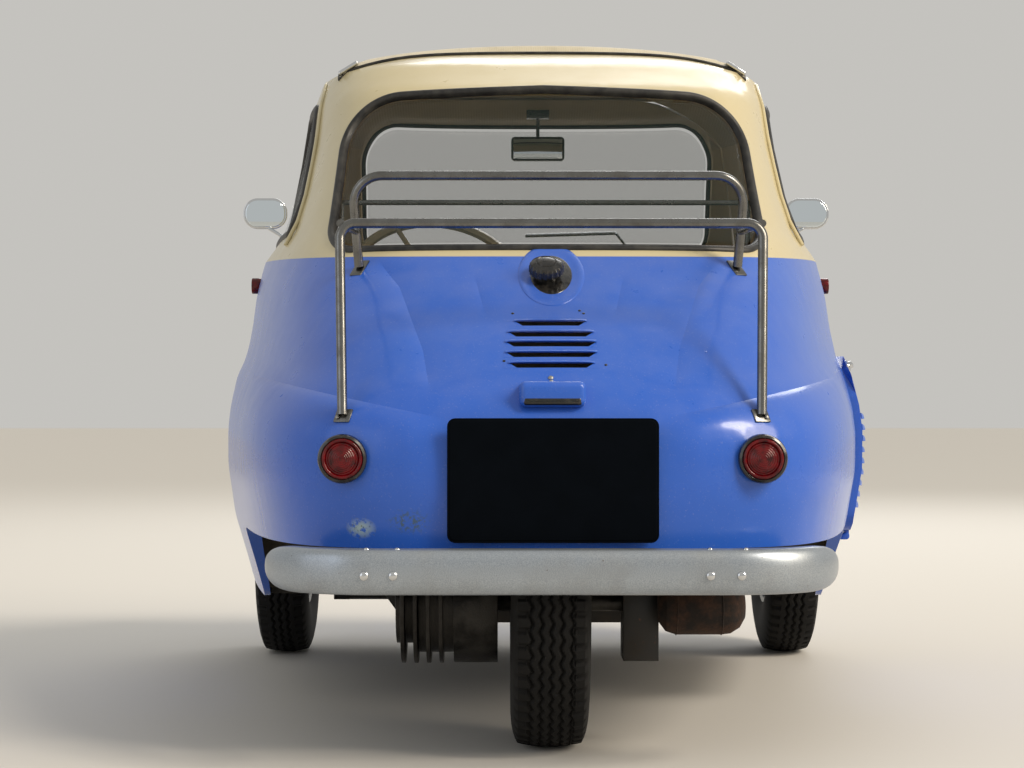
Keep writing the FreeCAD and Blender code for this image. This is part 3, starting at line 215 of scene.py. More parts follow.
def scraped_patch(tree, paint):
    """Two rubbed places low on the left of the tail: one to dark undercoat, one down to pale filler."""
    for under, centre, radii, size, detail, low, high, strength in (
            ("3f5550", STAIN_AT, (0.042, 0.09, 0.024), 6, 6, 0.50, 0.58, 0.8),
            ("a9bdb4", FILLER_AT, (0.030, 0.09, 0.020), 9, 6, 0.40, 0.50, 0.9),
            ("5d6a5e", FILLER_AT, (0.034, 0.09, 0.026), 5, 5, 0.58, 0.62, 1.0)):
        rubbed = speckle(tree, size, detail=detail, low=low, high=high)
        paint = laid(tree, paint, under, near(tree, centre, radii), rubbed, strength)
    return paint


def silver_enamel():
    """Sprayed aluminium paint on the bumper: fine metal flakes under a thin clear layer, chalky with age."""
    made, tree = finish("silver_enamel", "a2aab2", Metallic=0.75, Roughness=0.36, Coat_Weight=0.25,
                        Coat_Roughness=0.2)
    grime = overlap(tree, speckle(tree, 90, detail=6, low=0.45, high=0.75), 0.35)
    colour = laid(tree, "959da6", "b0b7be", speckle(tree, 1.6, detail=2, low=0.4, high=0.7))
    colour = laid(tree, colour, "7f7d76", grime)
    colour = laid(tree, colour, "5c4433", speckle(tree, 8, detail=4, low=0.72, high=0.74))
    return patterned(made, tree, colour, (grime, 0.34, 0.8))


def wheel_enamel():
    """Silver wheel paint with brake dust baked on in patches."""
    made, tree = finish("wheel_enamel", "b4b6b6", Metallic=0.4, Roughness=0.42)
    dust = speckle(tree, 30, detail=6, low=0.4, high=0.7)
    return patterned(made, tree, laid(tree, "b9bbbb", "6d6459", dust, 0.6))


def chrome_plate():
    """Chromium over nickel on steel: a mirror with fine pitting and a few freckles of rust."""
    made, tree = finish("chrome_plate", "cfd1d3", Metallic=1.0, Roughness=0.1)
    clouds = speckle(tree, 55, detail=5, low=0.35, high=0.8)
    freckles = overlap(tree, speckle(tree, 2.2, detail=3, low=0.64, high=0.7), clouds)
    colour = laid(tree, "cfd1d3", "6b4a30", freckles)
    return patterned(made, tree, colour, (clouds, 0.07, 0.24), (freckles, -0.08))


def tarnished_chrome():
    """Old chromium on bent tube: greyed, brushed by use, with brown freckles where it has lifted."""
    made, tree = finish("tarnished_chrome", "8f8f8b", Metallic=1.0, Roughness=0.3)
    clouds = speckle(tree, 35, detail=6, low=0.35, high=0.75)
    freckles = overlap(tree, speckle(tree, 2.5, detail=4, low=0.6, high=0.68), clouds)
    colour = laid(tree, laid(tree, "7d7d7b", "5f5e5a", clouds), "4a3626", freckles)
    return patterned(made, tree, colour, (clouds, 0.2, 0.42), (freckles, -0.1))


def bright_trim():
    """Polished aluminium: a soft satin shine with fine drawn lines."""
    made, tree = finish("polished_aluminium", "c4c5c4", Metallic=1.0, Roughness=0.24)
    lines = speckle(tree, 3, low=0.3, high=0.7, stretch=(0.1, 1, 1))
    return patterned(made, tree, rough=(lines, 0.18, 0.34))


def zinc_steel():
    """Zinc-plated fasteners: dull grey crystals going white."""
    made, tree = finish("zinc_plated_steel", "9a9a96", Metallic=0.85, Roughness=0.45)
    bloom = speckle(tree, 5, detail=4, low=0.5, high=0.7)
    return patterned(made, tree, laid(tree, "a2a29e", "6f6a60", bloom, 0.6))


def oily_castings():
    """Sand-cast aluminium under years of oil and road dirt: grey metal with brown-black greasy patches. Its
    greys and the near-black are darker than the metal is, partly as painted shade under the car.
    """
    made, tree = finish("oily_cast_aluminium_and_shade", "4a4845", Metallic=0.6, Roughness=0.55)
    grease_and_shade = speckle(tree, 45, detail=7, low=0.38, high=0.62)
    grit = speckle(tree, 4, detail=5, low=0.5, high=0.8)
    # Partly painted shade: the dark grey and the near-black laid through this mask stand for grease and also
    # for the shade under the car.
    colour = laid(tree, laid(tree, "3c3a37", "0d0b09", grease_and_shade), "33291e", grit, 0.4)
    return patterned(made, tree, colour, (grease_and_shade, 0.62, 0.3), (grain(tree, 2.5, 3.0), 0.5))


def chassis_paint():
    """Brushed black chassis paint: satin where clean, brown with road dust and rust at places."""
    made, tree = finish("black_chassis_paint", "0e0e0f", Roughness=0.5)
    dust = overlap(tree, speckle(tree, 70, detail=7, low=0.4, high=0.7), 0.6)
    rust = speckle(tree, 9, detail=5, low=0.66, high=0.7)
    colour = laid(tree, laid(tree, "101011", "3b3227", dust), "4f2c18", rust)
    return patterned(made, tree, colour, (dust, 0.4, 0.85))


def rusted_steel_and_shade():
    """Hot thin steel that has rusted all over: matte browns in patches with a scaly skin, all kept near black,
    partly as painted shade under the car.
    """
    made, tree = finish("rusted_steel_and_shade", "2c1f18", Metallic=0.1, Roughness=0.9)
    patches = speckle(tree, 28, detail=7, low=0.4, high=0.6)
    scale = speckle(tree, 5, detail=5, low=0.4, high=0.7)
    # Partly painted shade: these browns are darker than rust is, and they also stand for the shade under the
    # car.
    colour = laid(tree, laid(tree, "1f1713", "3f291c", patches), "14100d", scale, 0.5)
    return patterned(made, tree, colour, bumps=(scale, 0.4))


def window_glass():
    """Toughened glass: clear with a faint green cast."""
    return finish("toughened_glass", "20302b", Roughness=0.02, IOR=1.5, Alpha=0.16)[0]


def mirror_silver():
    """Silvered glass: nearly a perfect mirror, a touch of blue."""
    return finish("silvered_glass", "dfe8ee", Metallic=1.0, Roughness=0.02)[0]


def moulded_rubber():
    """Extruded window rubber: a soft sheen, chalky grey in patches."""
    made, tree = finish("window_rubber", "0d0d0e", Roughness=0.55)
    bloom = overlap(tree, speckle(tree, 24, detail=6, low=0.4, high=0.75), 0.25)
    colour = laid(tree, "0d0d0e", "6a675f", bloom)
    return patterned(made, tree, colour, (bloom, 0.45, 0.8), (grain(tree, 1.5, 2.0), 0.06))


def red_acrylic():
    """Moulded red acrylic: deep and clear with a hard gloss."""
    made, tree = finish("red_acrylic", "4d0207", Roughness=0.16, Specular_IOR_Level=0.3, Coat_Weight=0.15)
    depth = speckle(tree, 12, low=0.4, high=0.7)
    return patterned(made, tree, laid(tree, "62040a", "300105", depth))


def black_bakelite():
    """Pressed phenolic plastic: near-black and polished, with patches of dust."""
    made, tree = finish("black_bakelite", "0b0b0c", Roughness=0.26, Coat_Weight=0.3, Coat_Roughness=0.1)
    dust = speckle(tree, 12, detail=5, low=0.45, high=0.75)
    return patterned(made, tree, laid(tree, "0b0b0c", "55504a", dust, 0.35))


def plate_enamel():
    """The blank plate's dark coat: even and flat, only faintly mottled."""
    made, tree = finish("plate_enamel", "04070c", Roughness=0.85, Specular_IOR_Level=0.04)
    mottle = speckle(tree, 40, detail=5, low=0.35, high=0.7)
    return patterned(made, tree, laid(tree, "04070c", "090e15", mottle, 0.3))


def seat_vinyl():
    """Embossed upholstery vinyl: brown, with a fine leather grain, paler where worn."""
    made, tree = finish("upholstery_vinyl", "5b3b2a", Roughness=0.45)
    wear = speckle(tree, 120, detail=5, low=0.35, high=0.7)
    cells = add(tree, "TexVoronoi", {"feature": "DISTANCE_TO_EDGE"},
                Vector=add(tree, "TexCoord").outputs["Object"], Scale=per(3.5))
    edge = add(tree, "MapRange", Value=cells.outputs["Distance"], From_Max=0.12).outputs["Result"]
    return patterned(made, tree, laid(tree, "54362a", "6f4c37", wear), bumps=(edge, 0.18))


def woven(name, colour, shade, thread, dust):
    """Plain-woven cloth: two sets of threads crossing, as coarse as it needs to show at this distance."""
    made, tree = finish(name, colour, Roughness=0.85, Sheen_Weight=0.25, Sheen_Roughness=0.5)
    place = add(tree, "TexCoord").outputs["Object"]
    warp, weft = (add(tree, "TexWave", {"bands_direction": direction}, Vector=place,
                      Scale=per(thread) / math.tau, Distortion=0.3).outputs["Fac"] for direction in ("X", "Y"))
    weave = add(tree, "Math", {"operation": "MAXIMUM", "use_clamp": True}, _0=warp, _1=weft).outputs[0]
    faded = laid(tree, colour, shade, speckle(tree, 160, detail=5, low=0.35, high=0.75))
    soiled = laid(tree, faded, "8a8272", speckle(tree, 40, detail=6, low=0.5, high=0.8), dust)
    return patterned(made, tree, laid(tree, soiled, shade, weave, 0.25), bumps=(weave, 0.35))


def ribbed_mat():
    """Moulded black rubber floor mat with fine ribs along the car."""
    made, tree = finish("ribbed_rubber_mat", "141414", Roughness=0.7)
    place = add(tree, "TexCoord").outputs["Object"]
    ribs = add(tree, "TexWave", {"bands_direction": "X"}, Vector=place, Scale=per(8) / math.tau).outputs["Fac"]
    dust = speckle(tree, 60, detail=6, low=0.4, high=0.7)
    return patterned(made, tree, laid(tree, "161616", "4a443a", dust, 0.5), bumps=(ribs, 1.0))


def tyre_rubber():
    """Carbon-black tyre rubber, greyed a little by road dust."""
    made, tree = finish("tyre_rubber", "060606", Roughness=0.75, Specular_IOR_Level=0.3)
    dust = speckle(tree, 35, detail=7, low=0.35, high=0.75)
    return patterned(made, tree, laid(tree, "060606", "221e1a", dust, 0.225), bumps=(grain(tree, 2, 3.0), 0.12))


BLUE = stove_enamel("blue_stove_enamel", "2659bd", "3166c6", 0.07, scraped_patch)
CREAM = stove_enamel("cream_stove_enamel", "c5b992", "b9ac86", 0.1)
CREAM_TRIM = stove_enamel("cream_bakelite", "d9cfb0", "cfc49f", 0.1)
SILVER = silver_enamel()
WHEEL_SILVER = wheel_enamel()
CHROME = chrome_plate()
TARNISHED = tarnished_chrome()
BRIGHT = bright_trim()
ZINC = zinc_steel()
CASTING_AND_SHADE = oily_castings()
CHASSIS = chassis_paint()
RUST_AND_SHADE = rusted_steel_and_shade()
GLASS = window_glass()
MIRROR = mirror_silver()
RUBBER = moulded_rubber()
LENS = red_acrylic()
BAKELITE = black_bakelite()
PLATE = plate_enamel()
VINYL = seat_vinyl()
CANVAS = woven("roof_canvas", "c9c0a6", "b5ab90", 2.4, 0.35)
HEADLINING = woven("headlining_cloth", "c3a878", "ad9364", 3.0, 0.1)
TRIM_BOARD = woven("trim_board_cloth", "6f6a5e", "5f5a50", 3.0, 0.2)
MAT = ribbed_mat()
TYRE = tyre_rubber()


# Mesh tools

def finished(name, bm, body, slot, looks, stands_for=(), sharp=34):
    """Turns a bmesh into a piece that rides on a body, smooth except over its sharp edges."""
    bmesh.ops.remove_doubles(bm, verts=bm.verts, dist=0.01 * MM)
    bmesh.ops.recalc_face_normals(bm, faces=bm.faces)
    return settled(name, bm, body, slot, looks, stands_for, sharp)


def settled(name, bm, body, slot, looks, stands_for=(), sharp=34):
    """The same for a bmesh whose points and normals are right as they are."""
    limit = math.radians(sharp)
    for face in bm.faces:
        face.smooth = True
    for edge in bm.edges:
        edge.smooth = not (len(edge.link_faces) == 2 and edge.calc_face_angle(0) > limit)
    mesh = bpy.data.meshes.new(name)
    bm.to_mesh(mesh)
    bm.free()
    for look in looks if isinstance(looks, (list, tuple)) else [looks]:
        mesh.materials.append(look)
    piece = bpy.data.objects.new(name, mesh)
    bpy.context.scene.collection.objects.link(piece)
    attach(piece, body)
    if stands_for:
        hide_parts(*stands_for)
    return piece


def merged(node):
    """A CAD node's triangles joined into one mesh."""
    bm = bmesh.new()
    bm.from_mesh(frame["nodes"][node].data)
    bmesh.ops.remove_doubles(bm, verts=bm.verts, dist=0.02 * MM)
    bmesh.ops.dissolve_degenerate(bm, dist=0.01 * MM, edges=bm.edges)
    return bm


def dressed(node, looks, soften=0.0):
    """A smooth copy of a CAD node with its hard edges softened by this many millimetres."""
    bm = merged(node)
    if soften:
        bmesh.ops.dissolve_limit(bm, angle_limit=math.radians(0.4), verts=bm.verts, edges=bm.edges)
        hard = [e for e in bm.edges if len(e.link_faces) == 2 and e.calc_face_angle(0) > math.radians(42)]
        bmesh.ops.bevel(bm, geom=hard, offset=soften * MM, offset_type="OFFSET", segments=2, profile=0.5,
                        affect="EDGES", clamp_overlap=True, material=-1)
    settled(node + "_dressed", bm, frame["nodes"][node]["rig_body"], SLOTS[node], looks, [node])


def facing(way):
    """The turn that points local +Z this way."""
    return Vector(way).normalized().to_track_quat("Z", "Y").to_matrix().to_4x4()


def spun(profile, place, way, steps=48, close=True):
    """A solid of revolution from (radius, height) points in millimetres, standing on a place."""
    bm = bmesh.new()
    verts = [bm.verts.new((r * MM, 0, z * MM)) for r, z in profile]
    edges = [bm.edges.new(pair) for pair in zip(verts, verts[1:])]
    if close:
        edges.append(bm.edges.new((verts[-1], verts[0])))
    bmesh.ops.spin(bm, geom=verts + edges, cent=(0, 0, 0), axis=(0, 0, 1), angle=math.tau, steps=steps,
                   use_merge=True, use_duplicate=False)
    bmesh.ops.remove_doubles(bm, verts=bm.verts, dist=0.005 * MM)
    bmesh.ops.transform(bm, matrix=Matrix.Translation(place) @ facing(way), verts=bm.verts)
    return bm


def joined(parts):
    """Several bmeshes as one."""
    whole = bmesh.new()
    for bm in parts:
        mesh = bpy.data.meshes.new("part")
        bm.to_mesh(mesh)
        bm.free()
        whole.from_mesh(mesh)
        bpy.data.meshes.remove(mesh)
    return whole


def slab(low, high, soften=0.0, segments=3):
    """A box between two corners in metres, its edges rounded by this many millimetres."""
    low, high = Vector(low), Vector(high)
    bm = bmesh.new()
    fit = Matrix.Translation((low + high) / 2) @ Matrix.Diagonal((*(high - low), 1))
    bmesh.ops.create_cube(bm, size=1, matrix=fit)
    if soften:
        bmesh.ops.bevel(bm, geom=bm.edges[:], offset=soften * MM, segments=segments, profile=0.5,
                        affect="EDGES", clamp_overlap=True, material=-1)
    return bm


def dome(place, way, radius, height):
    """A round bolt head in millimetres."""
    rim = height * 0.25
    profile = [(0, -1), (radius, -1), (radius, rim)]
    profile += [(radius * math.cos(a), rim + (height - rim) * math.sin(a))
                for a in (math.radians(d) for d in (20, 45, 70))]
    return spun(profile + [(0, height)], place, way, 20)


def wire(name, points, radius, body, slot, look, closed=False, sides=3):
    """A round rod or bead along points, as a mesh. Its radius is in millimetres."""
    curve = bpy.data.curves.new(name, "CURVE")
    curve.dimensions = "3D"
    curve.bevel_depth = radius * MM
    curve.bevel_resolution = sides
    curve.use_fill_caps = not closed
    line = curve.splines.new("POLY")
    line.points.add(len(points) - 1)
    for spot, point in zip(line.points, points):
        spot.co = (*point, 1)
    line.use_cyclic_u = closed
    holder = bpy.data.objects.new(name + "_line", curve)
    bpy.context.scene.collection.objects.link(holder)
    mesh = bpy.data.meshes.new_from_object(holder.evaluated_get(bpy.context.evaluated_depsgraph_get()))
    bm = bmesh.new()
    bm.from_mesh(mesh)
    bpy.data.objects.remove(holder)
    bpy.data.curves.remove(curve)
    bpy.data.meshes.remove(mesh)
    return finished(name, bm, body, slot, look)


def rounded(corners, step=6.0):
    """Points round a closed outline whose corners are (a, b, radius), in millimetres."""
    count = len(corners)
    points = []
    for i, (a, b, radius) in enumerate(corners):
        corner = Vector((a, b))
        back = (Vector(corners[i - 1][:2]) - corner).normalized()
        on = (Vector(corners[(i + 1) % count][:2]) - corner).normalized()
        half = back.angle(on) / 2
        if radius <= 0 or half > math.radians(89):
            points.append(corner)
            continue
        centre = corner + (back + on).normalized() * (radius / math.sin(half))
        first = corner + back * (radius / math.tan(half)) - centre
        last = corner + on * (radius / math.tan(half)) - centre
        turn = first.angle_signed(last)
        bits = max(2, int(abs(turn) * radius / step))
        for k in range(bits + 1):
            share = -turn * k / bits
            c, s = math.cos(share), math.sin(share)
            points.append(centre + Vector((first.x * c - first.y * s, first.x * s + first.y * c)))
    dense = []
    for i, point in enumerate(points):
        gap = points[(i + 1) % len(points)] - point
        bits = max(1, int(gap.length / (step * 4)))
        dense += [point + gap * (k / bits) for k in range(bits)]
    return dense


# The painted skins

REFINED = 24 * MM               # longest edge of a refined panel
FOLD_DETAIL = 9 * MM            # the same where folds are pressed into it


def outward(place):
    """The way from the middle of the body to a place."""
    spine = Vector((0, min(max(place.y, -0.5), 0.45), 0.62))
    return (place - spine).normalized()


def in_arch(vert):
    """Whether a vertex lies on the inner walls round a front wheel, which have to keep clear of it."""
    off = Vector((abs(vert.co.x), vert.co.y, vert.co.z)) - FRONT_HUB
    return off.length < 0.36 and vert.normal.dot(outward(vert.co)) < 0.6


def even(bm, rounds):
    """Evens out a curved sheet's facets without shrinking it. Its sharp edges and rims stay."""
    limit = math.radians(24)

    def smooth(vert):
        return bool(vert.link_edges) and not in_arch(vert) and all(
            len(e.link_faces) == 2 and e.calc_face_angle(4) < limit for e in vert.link_edges)

    bm.normal_update()
    bm.verts.index_update()
    co = np.array([v.co for v in bm.verts])
    pairs = np.array([[v.index for v in e.verts] for e in bm.edges])
    free = np.array([smooth(v) for v in bm.verts])
    count = np.maximum(np.bincount(pairs.ravel(), minlength=len(co)), 1)[:, None]
    for _ in range(rounds):
        for step in (0.55, -0.58):
            total = np.zeros_like(co)
            np.add.at(total, pairs[:, 0], co[pairs[:, 1]])
            np.add.at(total, pairs[:, 1], co[pairs[:, 0]])
            co[free] += step * (total / count - co)[free]
    for vert, place in zip(bm.verts, co):
        vert.co = place


def refined(bm, longest, within=lambda vert: True):
    """Splits the edges that are longer than this, where both their ends are within a region."""
    for _ in range(6):
        long_edges = [e for e in bm.edges if e.calc_length() > longest and all(within(v) for v in e.verts)]
        if not long_edges:
            break
        bmesh.ops.subdivide_edges(bm, edges=long_edges, cuts=1)
        bmesh.ops.triangulate(bm, faces=bm.faces[:])
        tame = [e for e in bm.edges if len(e.link_faces) == 2 and e.calc_face_angle(4) < math.radians(6)]
        bmesh.ops.beautify_fill(bm, faces=bm.faces[:], edges=tame)


def eased(low, high, value):
    """0 at low, 1 at high, and smooth between."""
    share = min(1.0, max(0.0, (value - low) / (high - low)))
    return share * share * (3 - 2 * share)


def relieved(bm, shortest):
    """Collapses the very short edges inside a curved sheet, which would show as specks."""
    for _ in range(2):
        soft = {v for v in bm.verts if v.link_edges and not in_arch(v) and all(
            len(e.link_faces) == 2 and e.calc_face_angle(4) < 0.35 for e in v.link_edges)}
        short = [e for e in bm.edges if e.calc_length() < shortest and all(v in soft for v in e.verts)]
        bmesh.ops.collapse(bm, edges=short)
        bmesh.ops.dissolve_degenerate(bm, dist=0.05 * MM, edges=bm.edges[:])
    bmesh.ops.triangulate(bm, faces=[f for f in bm.faces if len(f.verts) > 3])


def outer_tail(vert):
    """Whether a vertex lies on the outer side of the tail, where the folds are."""
    co = vert.co
    return co.y > 0.45 and 0.385 < co.z < 0.87 and vert.normal.dot(outward(co)) > 0.3


# Each fold of the tail runs from one height to another, from a place across, at a slope, in millimetres
FOLDS = ((610, 694, 198, 0.2024), (694, 808, 215, 0.412), (808, 858, 262, 0.86))
LEDGE_X, LEDGE_Z, LEDGE_SLOPE = 184.5, 577, 0.205       # the ledge over the lamps
RIB_X, RIB_Z, RIB_SLOPE = 108, 742, 0.27                # the faint rib beside the louvres


def pressed_lines(place):
    """How far the tail's skin stands out at a place, in metres, for the folds pressed into it."""
    if place.y < 0.45:
        return 0.0
    x, z = abs(place.x) / MM, place.z / MM
    fold = next((start + slope * (z - low) for low, high, start, slope in FOLDS if z < high), 305)
    off = x - fold
    depth = 7.5 if place.x > 0 else 5.0
    stand = -depth * eased(604, 660, z) * eased(862, 830, z) * math.exp(-abs(off) / (60 if off < 0 else 28))
    rib = x - (RIB_X + RIB_SLOPE * (z - RIB_Z))
    stand -= 1.6 * eased(735, 765, z) * eased(830, 805, z) * math.exp(-abs(rib) / 12)
    below = LEDGE_Z + LEDGE_SLOPE * (x - LEDGE_X) - z
    if below > 0:
        share = eased(165, 240, x) * eased(600, 500, x) * eased(392, 500, z)
        stand += 12.0 * share * (1 - math.exp(-below / 20)) * math.exp(-below / 110)
    return stand * MM


def scored(bm, x, z, across, up, low, high):
    """Lays a row of edges along a fold through a place, both sides of the tail, between two heights."""
    for side in (1, -1):
        faces = [f for f in bm.faces if all(outer_tail(v) and low * MM < v.co.z < high * MM for v in f.verts)
                 and f.calc_center_median().x * side > 0]
        geom = faces + list({e for f in faces for e in f.edges}) + list({v for f in faces for v in f.verts})
        bmesh.ops.bisect_plane(bm, geom=geom, dist=0.3 * MM, plane_co=(side * x * MM, 0, z * MM),
                               plane_no=(side * across, 0, up))
        bmesh.ops.triangulate(bm, faces=[f for f in bm.faces if len(f.verts) > 3])
        bm.normal_update()


def panel(node, looks):
    """A painted panel: the CAD skin refined, evened out, given its pressed lines and lined inside."""
    bm = merged(node)
    relieved(bm, 5 * MM)
    refined(bm, REFINED)
    relieved(bm, 4 * MM)
    even(bm, 16)
    if node == "body_lower":
        bm.normal_update()
        refined(bm, FOLD_DETAIL, outer_tail)
        relieved(bm, 2.5 * MM)
        even(bm, 6)
        bm.normal_update()
        for low, high, start, slope in FOLDS:
            scored(bm, start, low, 1, -slope, low - 6, high + 6)
        scored(bm, RIB_X, RIB_Z, 1, -RIB_SLOPE, 735, 830)
        scored(bm, LEDGE_X, LEDGE_Z, -LEDGE_SLOPE, 1, 560, 670)
        moves = [(vert, vert.normal * pressed_lines(vert.co)) for vert in bm.verts if outer_tail(vert)]
        for vert, move in moves:
            vert.co += move
    bm.normal_update()
    for face in bm.faces:
        face.material_index = 1 if face.normal.dot(outward(face.calc_center_median())) < -0.35 else 0
    settled(node + "_panel", bm, frame["nodes"][node]["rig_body"], SLOTS[node], looks, [node],
            13 if node == "body_lower" else 34)


for node, outside, inside in (("body_lower", BLUE, TRIM_BOARD), ("cabin_upper", CREAM, HEADLINING),
                              ("door_lower", BLUE, TRIM_BOARD), ("door_upper", CREAM, HEADLINING),
                              ("engine_cover", BLUE, BLUE)):
    panel(node, [outside, inside])


def skin_tree():
    """The panels as one surface to find places on."""
    verts, faces = [], []
    for piece in [o for o in bpy.data.objects if o.name.endswith("_panel") and o.name != "engine_cover_panel"]:
        base = len(verts)
        verts += [v.co.copy() for v in piece.data.vertices]
        faces += [[base + i for i in p.vertices] for p in piece.data.polygons]
    return BVHTree.FromPolygons(verts, faces)


SKIN = skin_tree()


def met(start, way):
    """Where a ray meets the skin, and the skin's normal turned against the ray."""
    place, normal, _, _ = SKIN.ray_cast(start, way)
    if place is None:
        place, normal, _, _ = SKIN.find_nearest(start + way * 1.5)
    return place, normal if normal.dot(way) < 0 else -normal


def on_tail(x, z):
    return met(Vector((x, 3, z)), -REARWARD)


def on_nose(x, z):
    return met(Vector((x, -3, z)), REARWARD)


def on_flank(side, y, z):
    return met(Vector((side * 3, y, z)), Vector((-side, 0, 0)))


# Glass, seals and trim

# The windows' openings as (across, up, corner radius) in millimetres, and along the car for the side window
REAR_WINDOW = ((-398, 876, 45), (398, 876, 45), (384, 1192, 120), (0, 1208, 0), (-384, 1192, 120))
WINDSCREEN = ((-424, 948, 60), (424, 948, 60), (413, 1250, 95), (-413, 1250, 95))
SIDE_WINDOW = ((505, 938, 35), (1185, 938, 40), (985, 1215, 55), (770, 1215, 60))


def glazing(node):
    """A pane of even thickness from the CAD pane's outer face."""
    bm = merged(node)
    bm.normal_update()
    lining = [f for f in bm.faces if f.normal.dot(outward(f.calc_center_median())) < 0.5]
    bmesh.ops.delete(bm, geom=lining, context="FACES")
    refined(bm, 22 * MM)
    even(bm, 16)
    bm.normal_update()
    outer = bm.verts[:]
    inward = [v.normal * (-4.5 * MM) for v in outer]
    copy = bmesh.ops.extrude_face_region(bm, geom=bm.faces[:], use_keep_orig=True)
    fresh = [g for g in copy["geom"] if isinstance(g, bmesh.types.BMVert)]
    nearest = BVHTree.FromPolygons([v.co for v in outer], [(i, i, i) for i in range(len(outer))])
    for vert in fresh:
        vert.co += inward[nearest.find_nearest(vert.co)[2]]
    bmesh.ops.recalc_face_normals(bm, faces=bm.faces)
    settled(node + "_pane", bm, frame["nodes"][node]["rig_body"], SLOTS[node], GLASS, [node], sharp=50)


def grown(corners, by):
    """A window's outline moved outwards by this many millimetres."""
    centre = Vector((sum(c[0] for c in corners), sum(c[1] for c in corners))) / len(corners)
    moved = []
    for a, b, radius in corners:
        step = math.copysign(by, a - centre.x) if abs(a - centre.x) > 30 else 0
        moved.append((a + step, b + math.copysign(by, b - centre.y), max(radius + by, 8) if radius else 0))
    return moved


# A window rubber's section as (out, up) in millimetres, from the edge of the opening and the paint
GASKET = ((5.5, -1), (5.5, 1.2), (4, 3.8), (1, 5.3), (-3, 5.9), (-4.2, 5.2), (-5.4, 5.8), (-8, 4.6),
          (-9.5, 2.5), (-10.5, -0.5), (-10.5, -8), (-3.5, -8), (-3.5, -1))


def gasket(name, corners, find, body, stands_for=()):
    """A window rubber: one section swept round the opening, gripping paint outside and glass inside."""
    seats = [find(p.x, p.y) for p in rounded(grown(corners, 3), 5)]
    centre = sum((place for place, _ in seats), Vector()) / len(seats)
    bm = bmesh.new()
    rings = []
    for i, (place, normal) in enumerate(seats):
        along = (seats[(i + 1) % len(seats)][0] - seats[i - 1][0]).normalized()
        normal = (seats[i - 1][1] + normal + seats[(i + 1) % len(seats)][1]).normalized()
        out = along.cross(normal).normalized()
        if out.dot(place - centre) < 0:
            out = -out
        rings.append([bm.verts.new(place + (out * s + normal * n) * MM) for s, n in GASKET])
    for ring, following in zip(rings, rings[1:] + rings[:1]):
        for k in range(len(GASKET)):
            bm.faces.new((ring[k], ring[k - 1], following[k - 1], following[k]))
    finished(name, bm, body, "seal_rubber", RUBBER, stands_for, sharp=50)


for pane in ("rear_window", "side_windows", "windscreen"):
    glazing(pane)
gasket("rear_window_gasket", REAR_WINDOW, lambda a, b: on_tail(a * MM, b * MM), "body", ["rear_window_seal"])
gasket("windscreen_gasket", WINDSCREEN, lambda a, b: on_nose(a * MM, b * MM), "door", ["windscreen_seal"])
for side, name in ((1, "left"), (-1, "right")):
    gasket("side_window_gasket_" + name, SIDE_WINDOW, lambda a, b: on_flank(side, REAR_HUB.y - a * MM, b * MM),
           "body", ["side_window_seals"] if side == 1 else ())
    gutter = [on_flank(side, REAR_HUB.y - a * MM, b * MM) for a, b in
              ((455, 905), (480, 955), (520, 1010), (575, 1075), (630, 1140), (690, 1205), (760, 1258),
               (860, 1275), (980, 1272), (1080, 1255))]
    wire("drip_gutter_" + name, [p + n * 2.5 * MM for p, n in gutter], 4.2, "body", "paint_cream", CREAM)


# Wheels

def tyre(node, hub, half_width):
    """A cross-ply tyre with zigzag grooves, cut shoulder blocks and a rounded sidewall."""
    radius, bead, blocks = 250.0, 127.0, 56
    pitch, groove, shoulder_cut = math.tau * radius / blocks, 5.5, 5.0
    tread_half = half_width - 18
    count = int(tread_half / 1.7)
    depth = radius - bead
    outer = [(half_width - 22, bead), (half_width - 12, bead + 2), (half_width - 6, bead + depth * 0.12),
             (half_width - 1.5, bead + depth * 0.34), (half_width, bead + depth * 0.52),
             (half_width - 1.5, bead + depth * 0.68), (half_width - 4.5, bead + depth * 0.80),
             (half_width - 8, bead + depth * 0.88), (half_width - 12, radius - 7)]
    tread = [(tread_half - i * tread_half / count, 0) for i in range(count + 1)]
    tread = [(across, radius - 5.5 * (across / tread_half) ** 2) for across, _ in tread]
    side = outer + tread
    profile = [(out, across) for across, out in side] + [(out, -across) for across, out in side[-2::-1]]
    inside = [(bead + 6, -(half_width - 24)), (bead + 6, half_width - 24)]
    bm = spun(profile + inside, Vector((0, 0, 0)), UP, steps=336)
    for vert in bm.verts:
        across, out = vert.co.z / MM, math.hypot(vert.co.x, vert.co.y) / MM
        if out < radius - 9:
            continue
        along = math.atan2(vert.co.y, vert.co.x) * radius
        phase = (along / pitch) % 1
        zigzag = 3.2 * (abs(phase - 0.5) * 4 - 1)
        cut = 0.0
        for line in (0, -17, 17, -34, 34):
            if abs(line) > tread_half - 10:
                continue
            bite = abs(across - line - zigzag)
            cut = max(cut, groove * min(1.0, max(0.0, (3.3 - bite) / 1.6)))
        if abs(across) > tread_half - 12 and phase < 0.22:
            cut = max(cut, shoulder_cut)
        if cut:
            share = (out - cut) / out
            vert.co.x *= share
            vert.co.y *= share
    bmesh.ops.transform(bm, matrix=Matrix.Translation(hub) @ facing(LEFT), verts=bm.verts)
    finished(node + "_treaded", bm, frame["nodes"][node]["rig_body"], "tyre_rubber", TYRE, [node], sharp=28)


def valve(node, hub, side):
    """The rubber valve stem in the rim."""
    place = hub + Vector((side * 20 * MM, 0, 98 * MM))
    stem = spun([(0, -4), (5, -4), (4, 14), (2.6, 16), (2.6, 24), (0, 24)], place, LEFT * side, 16)
    finished(node + "_valve", stem, frame["nodes"][node]["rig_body"], "seal_rubber", RUBBER)


